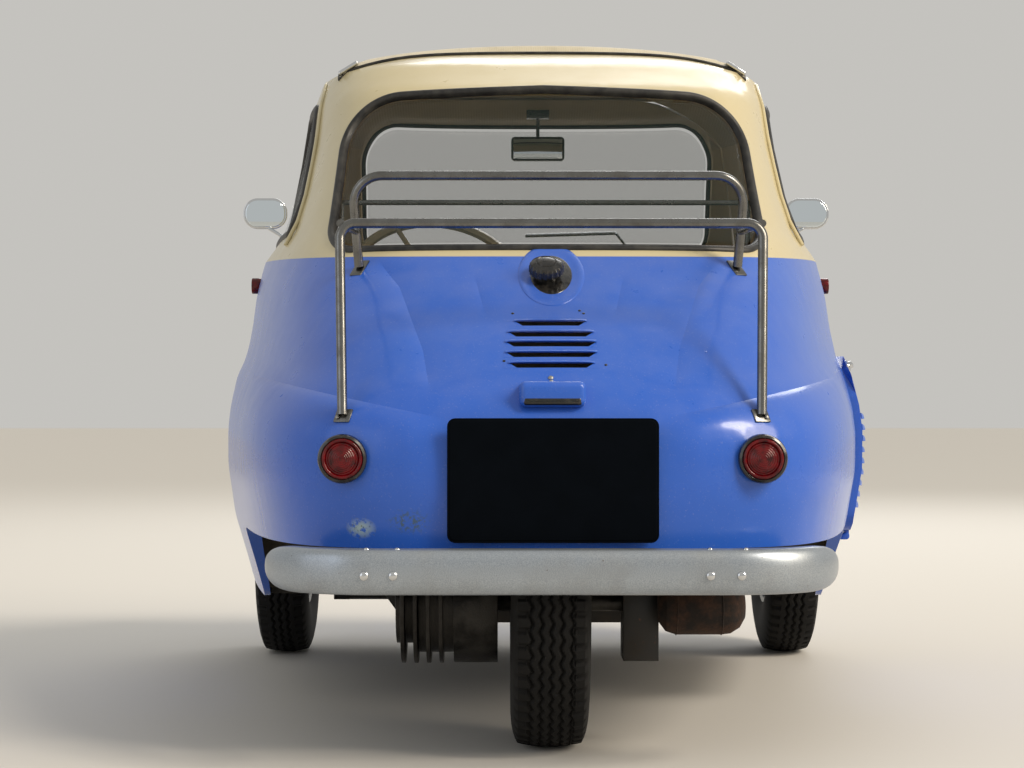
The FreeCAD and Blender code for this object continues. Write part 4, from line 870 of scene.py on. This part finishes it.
def hub_cap(node, hub, side):
    """A plain domed nave plate pressed over the hub."""
    profile = [(0, 34), (22, 33), (40, 28), (52, 20), (58, 10), (60, 4), (57, 4), (50, 12), (0, 24)]
    cap = spun(profile, hub + Vector((side * 16 * MM, 0, 0)), LEFT * side, 64)
    finished(node + "_nave_plate", cap, frame["nodes"][node]["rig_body"], "chrome", CHROME)


for corner, side in (("front_left", 1), ("front_right", -1), ("rear", -1)):
    low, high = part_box("tyre_" + corner)
    hub = (low + high) / 2
    tyre("tyre_" + corner, hub, (high.x - low.x) / 2 / MM)
    dressed("rim_" + corner, WHEEL_SILVER, soften=0.8)
    valve("rim_" + corner, hub, side)
    if corner != "rear":
        hub_cap("rim_" + corner, hub, side)

# Bumper

BUMPER_LOW, BUMPER_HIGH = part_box("rear_bumper")
CROSSMEMBER_Y = at(0, -285, 0).y + 0.2 * MM         # where the bumper's brackets meet the chassis


def bumper():
    """The rear bumper: one rolled channel, straight across the back and bent forward at its ends."""
    half, back = BUMPER_HIGH.x + 13 * MM, BUMPER_HIGH.y
    height, bend, wall = 74 * MM, 190 * MM, 2.5 * MM
    level = BUMPER_LOW.z + 3 * MM + height / 2
    section = []
    for k in range(19):
        angle = math.radians(-90 + 10 * k)
        rise = math.copysign(abs(math.sin(angle)) ** 0.8, angle) * height / 2
        section.append((-24 * MM + 24 * MM * max(0.0, math.cos(angle)) ** 0.62, rise))
    section = [(-30 * MM, -height / 2 + 3 * MM), *section, (-30 * MM, height / 2 - 3 * MM)]
    bm = bmesh.new()
    verts = [bm.verts.new((0, back + y, level + z)) for y, z in section]
    edges = [bm.edges.new(pair) for pair in zip(verts, verts[1:])]
    strip = edges + verts
    steps = 8
    for _ in range(steps):
        out = bmesh.ops.extrude_edge_only(bm, edges=[g for g in strip if isinstance(g, bmesh.types.BMEdge)])
        strip = out["geom"]
        moved = [g for g in strip if isinstance(g, bmesh.types.BMVert)]
        bmesh.ops.translate(bm, verts=moved, vec=((half - bend) / steps, 0, 0))
    ends = [g for g in strip if not isinstance(g, bmesh.types.BMFace)]
    pivot = (half - bend, back - bend, 0)
    sweep = math.radians(82)
    bmesh.ops.spin(bm, geom=ends, cent=pivot, axis=(0, 0, 1), angle=-sweep, steps=22, use_duplicate=False)
    for vert in bm.verts:
        turned = math.atan2(vert.co.x - pivot[0], vert.co.y - pivot[1])
        if vert.co.x > pivot[0] and turned > sweep * 0.55:
            share = (turned - sweep * 0.55) / (sweep * 0.45)
            vert.co.z = level + (vert.co.z - level) * (1 - 0.34 * share ** 2.4)
    mirror_of = bm.copy()
    bmesh.ops.scale(mirror_of, vec=(-1, 1, 1), verts=mirror_of.verts)
    whole = joined([bm, mirror_of])
    bmesh.ops.remove_doubles(whole, verts=whole.verts, dist=0.02 * MM)
    bmesh.ops.recalc_face_normals(whole, faces=whole.faces)
    outer = max(whole.faces, key=lambda f: f.calc_center_median().y)
    if outer.normal.y < 0:
        bmesh.ops.reverse_faces(whole, faces=whole.faces)
    bmesh.ops.solidify(whole, geom=whole.faces[:], thickness=wall)
    pieces = [whole]
    for x in (0.280, -0.280):
        pieces.append(slab((x - 0.020, CROSSMEMBER_Y, 0.318), (x + 0.020, back - 0.020, 0.332), 2))
    finished("rear_bumper_rolled", joined(pieces), "body", "paint_silver", SILVER, ["rear_bumper"], sharp=40)


bumper()


# Columns of the photograph
FACE_BOLT_COLUMNS = (364, 393, 711, 742)
EDGE_BOLT_COLUMNS = (366, 397, 711, 747)


def bumper_bolts():
    """Two pairs of round heads on the bumper's face and two along its upper edge."""
    back = BUMPER_HIGH.y
    heads = []
    for column in FACE_BOLT_COLUMNS:
        heads.append(dome(Vector((behind_to_x(column, back), back - 0.5 * MM, 0.329)), REARWARD, 7.5, 5))
    for column in EDGE_BOLT_COLUMNS:
        place = Vector((behind_to_x(column, back), back - 16 * MM, BUMPER_LOW.z + 75 * MM))
        heads.append(dome(place, (0, 0.4, 1), 4.5, 4))
    finished("bumper_bolts", joined(heads), "body", "chrome", CHROME)


def behind_to_x(column, y):
    """Across the car, from the photograph's column for a thing at this depth."""
    far = CAMERA_AT.y - y
    return CAMERA_AT.x - (column - MIDDLE_COLUMN) * far / FOCAL - math.tan(CAMERA_TURN) * far


bumper_bolts()

# Lamps, plate and caps on the tail

LAMP_X, LAMP_Z = 340 * MM, 510 * MM


def tail_lamps():
    """Round lamps in dark bezels: a red lens with rings moulded in, over a bright reflector."""
    for side, name in ((1, "left"), (-1, "right")):
        ring = [on_tail(side * LAMP_X + 39 * MM * math.cos(a), LAMP_Z + 39 * MM * math.sin(a))[0].y
                for a in (k * math.pi / 4 for k in range(8))]
        base = Vector((side * LAMP_X, max(ring) - 1 * MM, LAMP_Z))
        bezel = [(40, -34), (40, 6), (38.5, 10), (35, 12), (33.2, 11), (33.2, -34)]
        finished("tail_lamp_bezel_" + name, spun(bezel, base, REARWARD, 72), "body", "chrome", BAKELITE)
        rings = [(33, -4), (33, 11), (32, 13.5), (30, 14.6), (28, 13.6), (27, 11.5)]
        for k in range(7):
            r = 25.4 - 3.2 * k
            crown = 17.5 - 0.009 * r * r
            rings += [(r + 1.2, crown - 1.1), (r, crown), (r - 1.2, crown - 0.4)]
        lens = spun(rings + [(3, 17.6), (0, 18), (0, 2)], base, REARWARD, 72)
        finished("tail_lamp_lens_" + name, lens, "body", "lens_red", LENS, sharp=60)
        bowl = spun([(0, 1.5), (31, 1.5), (31, 3), (0, 3)], base, REARWARD, 40)
        finished("tail_lamp_reflector_" + name, bowl, "body", "chrome", BRIGHT)


tail_lamps()
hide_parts("tail_lamps")
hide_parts("tail_lamp_lenses")


def number_plate():
    """A blank plate with rounded corners and a thin raised border."""
    low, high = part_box("number_plate")
    bm = bmesh.new()
    half, tall, corner = 170, 100, 13
    outline = [bm.verts.new((x * MM, 0, z * MM)) for x, z in rounded(
        ((-half, -tall, corner), (half, -tall, corner), (half, tall, corner), (-half, tall, corner)), 3)]
    face = bm.faces.new(outline)
    bmesh.ops.translate(bm, verts=bm.verts, vec=(0, low.y, (low.z + high.z) / 2))
    copy = bmesh.ops.extrude_face_region(bm, geom=[face])
    fresh = [g for g in copy["geom"] if isinstance(g, bmesh.types.BMVert)]
    bmesh.ops.translate(bm, verts=fresh, vec=(0, high.y - low.y, 0))
    front = max(bm.faces, key=lambda f: f.calc_center_median().y)
    bmesh.ops.inset_region(bm, faces=[front], thickness=3.5 * MM, use_even_offset=True)
    bmesh.ops.inset_region(bm, faces=[front], thickness=1.2 * MM, depth=-1.0 * MM, use_even_offset=True)
    finished("number_plate_blank", bm, "body", "plate_enamel", PLATE, ["number_plate"], sharp=30)


number_plate()


def plate_lamp():
    """The hooded lamp over the plate: a rounded box with a black block low across its back, a clear glass strip
    before it, and a screw above.
    """
    place, _ = on_tail(0, 0.613)
    back = place.y + 30 * MM
    housing = slab((-54 * MM, place.y - 45 * MM, 0.5935), (54 * MM, back, 0.6355), 11, 6)
    finished("plate_lamp_housing", housing, "body", "paint_blue", BLUE, ["plate_lamp"])
    mask = slab((-47 * MM, back - 12 * MM, 0.5965), (47 * MM, back + 0.8 * MM, 0.6095), 4, 3)
    finished("plate_lamp_mask", mask, "body", "black_plastic", BAKELITE)
    strip = slab((-42 * MM, back, 0.6015), (42 * MM, back + 1.6 * MM, 0.6045), 0.8, 2)
    finished("plate_lamp_lens", strip, "body", "glazing", GLASS)
    seat, normal = on_tail(2 * MM, 0.641)
    screws = [dome(Vector((2 * MM, place.y + 8 * MM, 0.635)), UP, 4, 2.5), dome(seat, normal, 4.5, 3)]
    finished("plate_lamp_screws", joined(screws), "body", "chrome", ZINC)


plate_lamp()


CAP_AXIS = Vector((0, 0.545, 0.84))     # the neck leans back, so its cap looks up
DISH_X, DISH_Z = -3.5 * MM, 822.8 * MM


def filler():
    """The filler: a dish pressed into the tail, a flat black disc as painted shade where its dark hole is, and
    a fluted cap with a blank top.
    """
    turns = [math.tau * k / 72 for k in range(72)]
    low_z, high_z = 0.77, 0.85
    low_y, high_y = on_tail(0.060, low_z)[0].y, on_tail(0.060, high_z)[0].y

    def skin_y(z):
        return low_y + (high_y - low_y) * (z - low_z) / (high_z - low_z)

    for name, slot, look, profile in (
            ("filler_dish", "paint_blue", BLUE,
             ((58, -3), (58, 0.6), (56, 3.2), (52, 4), (48, 3.6), (44, 2.4), (39, 1.6), (36, 1.6), (35, 0.4))),
            # Painted shade: a flat black disc, flush with the dish, stands for the dark inside the filler's
            # hole.
            ("filler_neck", "black_plastic", BAKELITE,
             ((36.4, 1.4), (35, 3.0), (0.5, 3.0), (0.5, -1), (36.4, -1)))):
        bm = bmesh.new()
        rings = [[bm.verts.new((DISH_X + r * MM * math.cos(a), skin_y(DISH_Z + r * MM * math.sin(a)) + h * MM,
                                DISH_Z + r * MM * math.sin(a))) for a in turns] for r, h in profile]
        for ring, following in zip(rings, rings[1:]):
            for k in range(len(turns)):
                bm.faces.new((ring[k], ring[k - 1], following[k - 1], following[k]))
        finished(name, bm, "body", slot, look, sharp=40)
    profile = [(0, -4), (20, -4), (20, 9), (25, 9), (29, 11), (29, 23), (27, 27.5), (21, 30.5), (18.5, 31.2),
               (17.6, 30.2), (16.2, 30.2), (15.4, 31.8), (9, 33.6), (0, 34)]
    flutes = 20
    bm = spun(profile, Vector((0, 0, 0)), UP, 8 * flutes, close=False)
    for vert in bm.verts:
        out, z = math.hypot(vert.co.x, vert.co.y) / MM, vert.co.z / MM
        if out > 26 and 10 < z < 26:
            wave = math.cos(math.atan2(vert.co.y, vert.co.x) * flutes)
            share = (out + 1.3 * max(-0.4, wave)) / out
            vert.co.x *= share
            vert.co.y *= share
    foot = Vector((0.0052, skin_y(0.8184), 0.8184))
    bmesh.ops.transform(bm, matrix=Matrix.Translation(foot) @ facing(CAP_AXIS), verts=bm.verts)
    finished("filler_cap_fluted", bm, "body", "black_plastic", BAKELITE, ["filler_cap"], sharp=28)


filler()


def louvre(place, out, across, half, tall, stand, narrow=1.0):
    """One pressed hood over a slot: closed above and at its ends, open below. Sizes in millimetres.
    A hood that stands less than nothing is a scoop pressed inwards."""
    bm = bmesh.new()
    bmesh.ops.create_grid(bm, x_segments=24, y_segments=7, size=1)
    up = out.cross(across).normalized()
    if up.z < 0:
        up = -up
    for vert in bm.verts:
        u, v = vert.co.x, (vert.co.y + 1) / 2
        end = max(0.0, 1 - abs(u) ** 6) ** 0.5
        lift = stand * (math.sqrt(max(0.0, 1 - v * v)) if stand > 0 else math.sin(v * math.pi / 2)) * end
        reach = half * (narrow + (1 - narrow) * v)
        vert.co = place + across * (u * reach * MM) + up * (v * tall * MM) + out * ((lift - 0.4) * MM)
    bmesh.ops.recalc_face_normals(bm, faces=bm.faces)
    bmesh.ops.solidify(bm, geom=bm.faces[:], thickness=1.1 * MM)
    return bm


def slot_end(side, half, level):
    """The slanting end of a slot, which leaves its lower edge shorter than its upper one."""
    bm = bmesh.new()
    corners = []
    for x, z in ((79, 4.6), (half, 4.6), (half - 15, -4.6), (79, -4.6)):
        over, under = (on_tail(side * x * MM, (level + step) * MM)[0].y for step in (8, -8))
        share = (z + 8) / 16
        y = over * share + under * (1 - share) + 0.4 * MM
        corners.append(bm.verts.new((side * x * MM, y, (level + z) * MM)))
    bm.faces.new(corners)
    bmesh.ops.solidify(bm, geom=bm.faces[:], thickness=1.2 * MM)
    return bm


def tail_louvres():
    """Five slots, each with a scoop pressed in below and a low brow above."""
    hoods = []
    for level, half in ((734, 61), (715, 72), (698, 76), (680, 76), (662, 71)):
        left, right = on_tail(0.10, level * MM), on_tail(-0.10, level * MM)
        place = Vector((0, (left[0].y + right[0].y) / 2, level * MM))
        out = (left[1] + right[1]).normalized()
        hoods.append(louvre(place + UP * 3.6 * MM, out, LEFT, half, 5, 2.6))
        hoods.append(louvre(place - UP * 4.2 * MM, out, LEFT, half, 4.4, -9, 0.86))
        hoods += [slot_end(side, half, level) for side in (1, -1)]
    finished("tail_louvres", joined(hoods), "body", "paint_blue", BLUE)


tail_louvres()


# Columns and rows of the photograph
SCREW_PIXELS = ((513, 311), (582, 308), (586, 311), (504, 361), (606, 365))


def tail_screws():
    """Small black domes round the louvres: screw heads, and painted shade where each small hole is."""
    screws_and_hole_shade = []
    far = 3.78                  # from the camera to the skin there, in metres
    for column, row in SCREW_PIXELS:
        z = CAMERA_AT.z + (HORIZON_ROW - row) * far / FOCAL
        place, normal = on_tail(behind_to_x(column, CAMERA_AT.y - far), z)
        # Each black dome is a screw head or the painted shade of a small hole.
        screws_and_hole_shade.append(dome(place, normal, 2.6, 1.2))
    finished("tail_screws", joined(screws_and_hole_shade), "body", "black_plastic", BAKELITE)


tail_screws()

# Engine cover louvres, on the right side

def cover_louvres():
    """Nine hoods in a column down the engine cover, and its latch above them."""
    rows = []
    cover = BVHTree.FromObject(bpy.data.objects["engine_cover_panel"], bpy.context.evaluated_depsgraph_get())
    y = at(0, 770, 0).y
    for k in range(9):
        z = 0.385 + 0.0225 * k
        place, normal, _, _ = cover.ray_cast(Vector((-3, y, z)), LEFT)
        if place is None:
            continue
        ahead = cover.ray_cast(Vector((-3, y - 0.12, z)), LEFT)[0]
        across = (place - ahead).normalized() if ahead else REARWARD
        rows.append(louvre(place, normal, across, 125, 12, 7))
    finished("engine_cover_louvres", joined(rows), "engine_cover", "paint_blue", BLUE)
    place, normal, _, _ = cover.ray_cast(Vector((-3, at(0, 560, 0).y, 0.672)), LEFT)
    if place:
        knob = spun([(0, -1), (12, -1), (12, 2), (8, 4), (7, 10), (0, 12)], place, normal, 24)
        finished("engine_cover_latch", knob, "engine_cover", "chrome", CHROME)


cover_louvres()

# Roof

def sunroof():
    """The folding roof: canvas stretched over three bows, with a dark binding and chromed rear corners."""
    low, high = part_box("sunroof")
    arch, half = 2.5, (high.x - low.x) / 2
    length, middle_y = high.y - low.y, (low.y + high.y) / 2
    centre_z = high.z - arch

    def crown(x, y, under=0.0):
        return Vector((x, y, centre_z + math.sqrt((arch - under) ** 2 - x * x)))

    def roof(x, y):
        place = SKIN.ray_cast(Vector((x, y, 2)), -UP)[0]
        return SKIN.find_nearest(crown(x, y))[0] if place is None or place.z < 1.2 else place

    def canvas(u, v, lift=0.0):
        """A place on the canvas, from -1 to 1 each way: it hugs the roof at its edges."""
        x, y = u * half, middle_y + v * (length / 2 - 1.5 * MM)
        top = crown(x, y, 0.6 * MM)
        share = max(abs(u) ** 12, abs(v) ** 14)
        most = max(abs(u), abs(v), 1e-6)
        edge = roof(u / most * half, middle_y + v / most * length / 2)
        sag = 1.6 * MM * math.sin((v + 1) * math.pi * 1.5) ** 2 * (1 - share)
        drop = max(0.0, top.z - edge.z - 6 * MM) * share
        return top - UP * (drop + sag - lift)

    bm = bmesh.new()
    bmesh.ops.create_grid(bm, x_segments=44, y_segments=36, size=1)
    for vert in bm.verts:
        vert.co = canvas(vert.co.x, vert.co.y)
    if sum(f.normal.z for f in bm.faces) < 0:
        bmesh.ops.reverse_faces(bm, faces=bm.faces)
    area = sum(f.calc_area() for f in bm.faces)
    bmesh.ops.solidify(bm, geom=bm.faces[:], thickness=2.0 * MM)
    cloth = finished("roof_canvas", bm, "body", "roof_fabric", CANVAS, ["sunroof"])
    rim = [(u, -1) for u in np.linspace(-1, 1, 30)] + [(1, v) for v in np.linspace(-1, 1, 24)][1:]
    rim += [(u, 1) for u in np.linspace(1, -1, 30)][1:] + [(-1, v) for v in np.linspace(1, -1, 24)][1:-1]
    binding = [canvas(u, v, -3.2 * MM) for u, v in rim]
    wire("roof_binding", binding, 3.6, "body", "seal_rubber", RUBBER, closed=True)
    bows = []
    for y in (low.y + 0.075, middle_y, high.y - 0.075):
        bow = bmesh.new()
        bmesh.ops.create_grid(bow, x_segments=24, y_segments=1, size=1)
        for vert in bow.verts:
            vert.co = crown(vert.co.x * (half - 0.075), y + 0.012 * vert.co.y, 5.5 * MM)
        bmesh.ops.solidify(bow, geom=bow.faces[:], thickness=7.5 * MM)
        bows.append(bow)
    finished("sunroof_bows", joined(bows), "body", "paint_black", CHASSIS)
    tips = []
    for side in (1, -1):
        place = canvas(side * 0.955, 0.985)
        tilt = (canvas(side * 1.0, 0.985) - canvas(side * 0.90, 0.985)).normalized()
        angle = -math.atan2(tilt.z, tilt.x) if side == 1 else -math.atan2(-tilt.z, -tilt.x)
        tip = slab((-0.023, -0.014, -0.004), (0.023, 0.014, 0.004), 3.4, 4)
        turn = Matrix.Translation(place) @ Matrix.Rotation(angle, 4, "Y")
        bmesh.ops.transform(tip, matrix=turn, verts=tip.verts)
        tips.append(tip)
    finished("sunroof_corner_tips", joined(tips), "body", "chrome", CHROME)


sunroof()

# Everything else that the CAD already shapes right

KEPT = (
    (("chassis_frame", "front_axle", "rear_spring", "steering_column"), CHASSIS, 1.2),
    (("knuckle_left", "knuckle_right", "chain_case", "engine_block"), CASTING_AND_SHADE, 1.5),
    (("floor_pan",), MAT, 0.0),
    (("bulkhead",), TRIM_BOARD, 1.0),
    (("front_bumpers", "door_handle", "wiper"), CHROME, 0.0),
    (("parcel_rail",), TARNISHED, 0.0),
    (("headlamps", "cover_hinges", "door_hinges", "hinge_brackets"), BLUE, 1.2),
    (("steering_wheel",), CREAM_TRIM, 0.0),
    (("side_lamps",), LENS, 1.5),
    (("inside_mirror",), BAKELITE, 1.5),
)
for nodes, look, soften in KEPT:
    for node in nodes:
        dressed(node, look, soften)


def bent(points, bend):
    """Points along straight runs with round bends between them. The bend's radius is in millimetres."""
    path = [points[0]]
    for before, corner, after in zip(points, points[1:], points[2:]):
        back, on = (before - corner).normalized(), (after - corner).normalized()
        half = back.angle(on) / 2
        centre = corner + (back + on).normalized() * (bend * MM / math.sin(half))
        first = corner + back * (bend * MM / math.tan(half)) - centre
        last = corner + on * (bend * MM / math.tan(half)) - centre
        path += [centre + first.slerp(last, k / 12).normalized() * bend * MM for k in range(13)]
    return path + [points[-1]]


def exhaust():
    """A short round-ended silencer across the car, with its pipe from the engine."""
    centre = at(-262, -60, 248)
    can = [(0, -77), (26, -74), (42, -62), (48, -44), (48, 34), (46, 50), (36, 66), (20, 75), (0, 77)]
    finished("exhaust_can", spun(can, centre, -LEFT, 72), "body", "rusty_steel", RUST_AND_SHADE, ["exhaust"])
    run = [at(-262, -30, 250), at(-262, 150, 258), at(-285, 345, 300), at(-300, 440, 330)]
    wire("exhaust_pipe", bent(run, 60), 16, "body", "rusty_steel", RUST_AND_SHADE, sides=6)
    seams = [spun([(47, x - 2), (49.5, x), (47, x + 2), (40, x + 2), (40, x - 2)], centre, -LEFT, 72)
             for x in (-44, 34)]
    finished("exhaust_seams", joined(seams), "body", "rusty_steel", RUST_AND_SHADE)


exhaust()


def strap(place, normal, wide, tall):
    """A small foot plate on the paint, with softened edges."""
    plate = slab((-wide / 2 * MM, -tall / 2 * MM, -1 * MM), (wide / 2 * MM, tall / 2 * MM, 2.6 * MM), 1.6, 2)
    bmesh.ops.transform(plate, matrix=Matrix.Translation(place) @ facing(normal), verts=plate.verts)
    return plate


def carrier():
    """The luggage carrier: a bar on two legs, and a hoop on two brackets, linked on each side."""
    bar_y, bar_z = REAR_HUB.y + 0.222, 0.898
    hoop_y, hoop_z = REAR_HUB.y, 0.998
    feet, screws = [], []
    low_seats = {side: on_tail(side * 0.341, 0.579) for side in (1, -1)}
    high_seats = {side: on_tail(side * 0.334, 0.838) for side in (1, -1)}
    legs = {}
    for side in (1, -1):
        place, normal = low_seats[side]
        legs[side] = place + normal * 4 * MM
        feet.append(strap(place, normal, 30, 25))
        screws.append(dome(place + normal * 2.4 * MM - UP * 3 * MM + LEFT * side * 9 * MM, normal, 3.4, 2.4))
        place, normal = high_seats[side]
        feet.append(strap(place, normal, 23, 42))
        screws.append(dome(place + normal * 2.4 * MM - UP * 9 * MM, normal, 4.4, 3))
    bar = [legs[1], Vector((0.351, bar_y, bar_z)), Vector((-0.351, bar_y, bar_z)), legs[-1]]
    wire("carrier_bar", bent(bar, 26), 8.3, "body", "chrome", TARNISHED, sides=5)
    top = [high_seats[1][0] + high_seats[1][1] * 5 * MM, Vector((0.345, hoop_y + 0.004, hoop_z)),
           Vector((-0.345, hoop_y + 0.004, hoop_z)), high_seats[-1][0] + high_seats[-1][1] * 5 * MM]
    wire("carrier_hoop", bent(top, 50), 8.3, "body", "chrome", TARNISHED, sides=5)
    for side, name in ((1, "left"), (-1, "right")):
        low_end = top[0] if side == 1 else top[3]
        corner = top[1] if side == 1 else top[2]
        share = (bar_z + 0.004 - low_end.z) / (corner.z - low_end.z)
        link = [Vector((side * 0.350, bar_y, bar_z)), low_end + (corner - low_end) * share]
        wire("carrier_link_" + name, link, 6.6, "body", "chrome", TARNISHED, sides=4)
    finished("carrier_feet", joined(feet), "body", "chrome", TARNISHED)
    finished("carrier_screws", joined(screws), "body", "chrome", ZINC)
    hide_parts("luggage_rack")


carrier()


def mirror_head(low, high, round_by, domed):
    """A mirror's housing: a rounded oblong, domed away from its glass."""
    bm = slab(low, high)
    corners = [e for e in bm.edges if abs((e.verts[0].co - e.verts[1].co).normalized().y) > 0.9]
    bmesh.ops.bevel(bm, geom=corners, offset=round_by * MM, segments=10, profile=0.5, affect="EDGES",
                    clamp_overlap=True, material=-1)
    for end, offset in ((low.y, domed), (high.y, 2.0)):
        rim = [e for e in bm.edges if all(abs(v.co.y - end) < 1e-6 for v in e.verts)]
        bmesh.ops.bevel(bm, geom=rim, offset=offset * MM, segments=5, profile=0.5, affect="EDGES",
                        clamp_overlap=True, material=-1)
    return bm


def mirrors():
    """Both outside mirrors on their stems, and the glass of all three."""
    face_y = REAR_HUB.y - 1.480
    heads = []
    for side, name in ((1, "left"), (-1, "right")):
        centre = Vector((side * 0.650, face_y, 1.050))
        low, high = centre - Vector((0.0525, 0.026, 0.037)), centre + Vector((0.0525, 0, 0.037))
        heads.append(mirror_head(low, high, 34, 16))
        glass_low, glass_high = low + Vector((0.005, 0.0245, 0.005)), high + Vector((-0.005, 0.0012, -0.005))
        glass = mirror_head(glass_low, glass_high, 29, 0.3)
        finished("mirror_glass_" + name, glass, "body", "chrome", MIRROR)
        foot, normal = on_flank(side, REAR_HUB.y - 1.400, 0.935)
        stem = bent([foot - normal * 4 * MM, foot + normal * 34 * MM + UP * 0.03 + REARWARD * -0.02,
                     centre - REARWARD * 0.014 - UP * 0.030], 14)
        wire("mirror_stem_" + name, stem, 4.5, "body", "chrome", CHROME, sides=4)
        finished("mirror_foot_" + name, dome(foot, normal, 15, 6), "body", "chrome", CHROME)
    finished("mirror_heads", joined(heads), "body", "chrome", CHROME, ["outside_mirrors"])
    y = REAR_HUB.y - 1.235 + 8 * MM
    glass = slab((-0.056, y - 1 * MM, 1.1555), (0.056, y + 0.6 * MM, 1.2015), 5, 3)
    finished("mirror_glass_inside", glass, "door", "chrome", MIRROR)


mirrors()


def headlamp_fronts():
    """Chromed rim and domed glass in each pod."""
    low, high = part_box("headlamp_glasses")
    for side, name in ((1, "left"), (-1, "right")):
        base = Vector((side * 588 * MM, low.y + 10 * MM, 612 * MM))
        rim = [(74, -2), (74, 6), (71, 11), (67, 12.5), (65, 9), (65, -2)]
        finished("headlamp_rim_" + name, spun(rim, base, -REARWARD, 80), "body", "chrome", CHROME)
        glass = [(0, 0), (66, 0), (66, 6), (60, 9), (45, 13), (25, 15.6), (0, 16.5)]
        bm = spun(glass, base, -REARWARD, 96)
        finished("headlamp_glass_" + name, bm, "body", "glazing", GLASS)
        bowl = [(0, -1), (64, -1), (64, 1), (40, 0.4), (0, 0.2)]
        finished("headlamp_bowl_" + name, spun(bowl, base, -REARWARD, 60), "body", "chrome", BRIGHT)


headlamp_fronts()
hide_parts("headlamp_glasses")

# Seats

def cushion(node, inset, face_axis):
    """A sprung cushion under vinyl: crowned by air pressure, then sewn into channels. The face that is sewn
    is its top on axis 2 and its front on axis 1."""
    channels, channel_depth = 9, 7 * MM
    low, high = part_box(node)
    bm = slab(low + Vector((1, 1, 1)) * inset * MM, high - Vector((1, 1, 1)) * inset * MM, 22, 4)
    mesh = bpy.data.meshes.new(node + "_cushion")
    bm.to_mesh(mesh)
    bm.free()
    piece = bpy.data.objects.new(node + "_cushion", mesh)
    bpy.context.scene.collection.objects.link(piece)
    remesh = piece.modifiers.new("remesh", "REMESH")
    remesh.mode = "VOXEL"
    remesh.voxel_size = 0.009
    apply_all(piece)
    rest = np.array([v.co for v in piece.data.vertices])
    cloth = piece.modifiers.new("cloth", "CLOTH")
    cloth.settings.use_pressure = True
    cloth.settings.uniform_pressure_force = 4
    cloth.settings.effector_weights.gravity = 0
    for step in range(1, 13):
        bpy.context.scene.frame_set(step)
    apply_all(piece)
    bpy.context.scene.frame_set(1)
    moved = np.array([v.co for v in piece.data.vertices])
    shift = moved - rest
    length = np.linalg.norm(shift, axis=1)
    cap = inset * 0.95 * MM
    scale = np.where(length > cap, cap / np.maximum(length, 1e-9), 1.0)
    moved = rest + shift * scale[:, None]
    width = high.x - low.x
    for vert, place in zip(piece.data.vertices, moved):
        place = Vector(place)
        wave = (place.x - low.x) / width * channels % 1
        dip = math.exp(-((wave - 0.5) / 0.06) ** 2) * channel_depth
        front = (place[face_axis] - low[face_axis]) / (high[face_axis] - low[face_axis])
        if face_axis == 2 and front > 0.5:
            place.z -= dip * (front - 0.5) * 2
        if face_axis == 1 and front < 0.5:
            place.y += dip * (0.5 - front) * 2
        vert.co = place
    piece.data.materials.append(VINYL)
    for polygon in piece.data.polygons:
        polygon.use_smooth = True
    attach(piece, "body")
    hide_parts(node)


def apply_all(piece):
    """Makes what the modifiers give the piece's own mesh."""
    mesh = bpy.data.meshes.new_from_object(piece.evaluated_get(bpy.context.evaluated_depsgraph_get()))
    piece.modifiers.clear()
    old = piece.data
    piece.data = mesh
    bpy.data.meshes.remove(old)


cushion("seat_base", inset=14, face_axis=2)
cushion("seat_back", inset=12, face_axis=1)

# Floor, light and camera

def floor():
    """A plain pale floor."""
    bm = bmesh.new()
    bmesh.ops.create_grid(bm, x_segments=1, y_segments=1, size=40)
    mesh = bpy.data.meshes.new("studio_floor")
    bm.to_mesh(mesh)
    bm.free()
    mesh.materials.append(finish("studio_floor", "cfccc6", Roughness=0.9, Specular_IOR_Level=0.1)[0])
    ground = bpy.data.objects.new("studio_floor", mesh)
    bpy.context.scene.collection.objects.link(ground)


def light(name, place, aim, size, power, colour="ffffff"):
    """A round soft light, in metres and watts."""
    lamp = bpy.data.lights.new(name, "AREA")
    lamp.shape = "DISK"
    lamp.size = size
    lamp.energy = power
    lamp.color = linear(colour)[:3]
    holder = bpy.data.objects.new(name, lamp)
    holder.matrix_world = Matrix.Translation(place) @ facing(Vector(place) - Vector(aim))
    bpy.context.scene.collection.objects.link(holder)


floor()
world = bpy.data.worlds.new("studio")
world.use_nodes = True
world.node_tree.nodes["Background"].inputs["Color"].default_value = linear("e6e4df")
world.node_tree.nodes["Background"].inputs["Strength"].default_value = 0.7
bpy.context.scene.world = world
light("key", (-8.5, 4.5, 5.0), (0, 0.6, 0.6), 5.0, 520, "fff0da")
light("fill", (6.5, 5.0, 3.0), (0, 0.6, 0.6), 6.0, 70, "eaf1ff")
light("front", (-1.5, -6.5, 5.5), (0, -0.6, 0.6), 5.0, 200)
sun = bpy.data.lights.new("sun", "SUN")
sun.angle = math.radians(16)
sun.energy = 1.7
sun.color = linear("fff3e2")[:3]
holder = bpy.data.objects.new("sun", sun)
holder.matrix_world = facing((-0.62, 0.42, 0.66))
bpy.context.scene.collection.objects.link(holder)

camera = bpy.data.cameras.new("camera")
camera.lens = CAMERA_LENS
camera.sensor_width = CAMERA_SENSOR
viewer = bpy.data.objects.new("camera", camera)
viewer.location = CAMERA_AT
viewer.rotation_euler = (math.pi / 2 + CAMERA_RISE, 0, math.pi - CAMERA_TURN)
bpy.context.scene.collection.objects.link(viewer)
bpy.context.scene.camera = viewer
bpy.context.scene.view_settings.view_transform = "Standard"
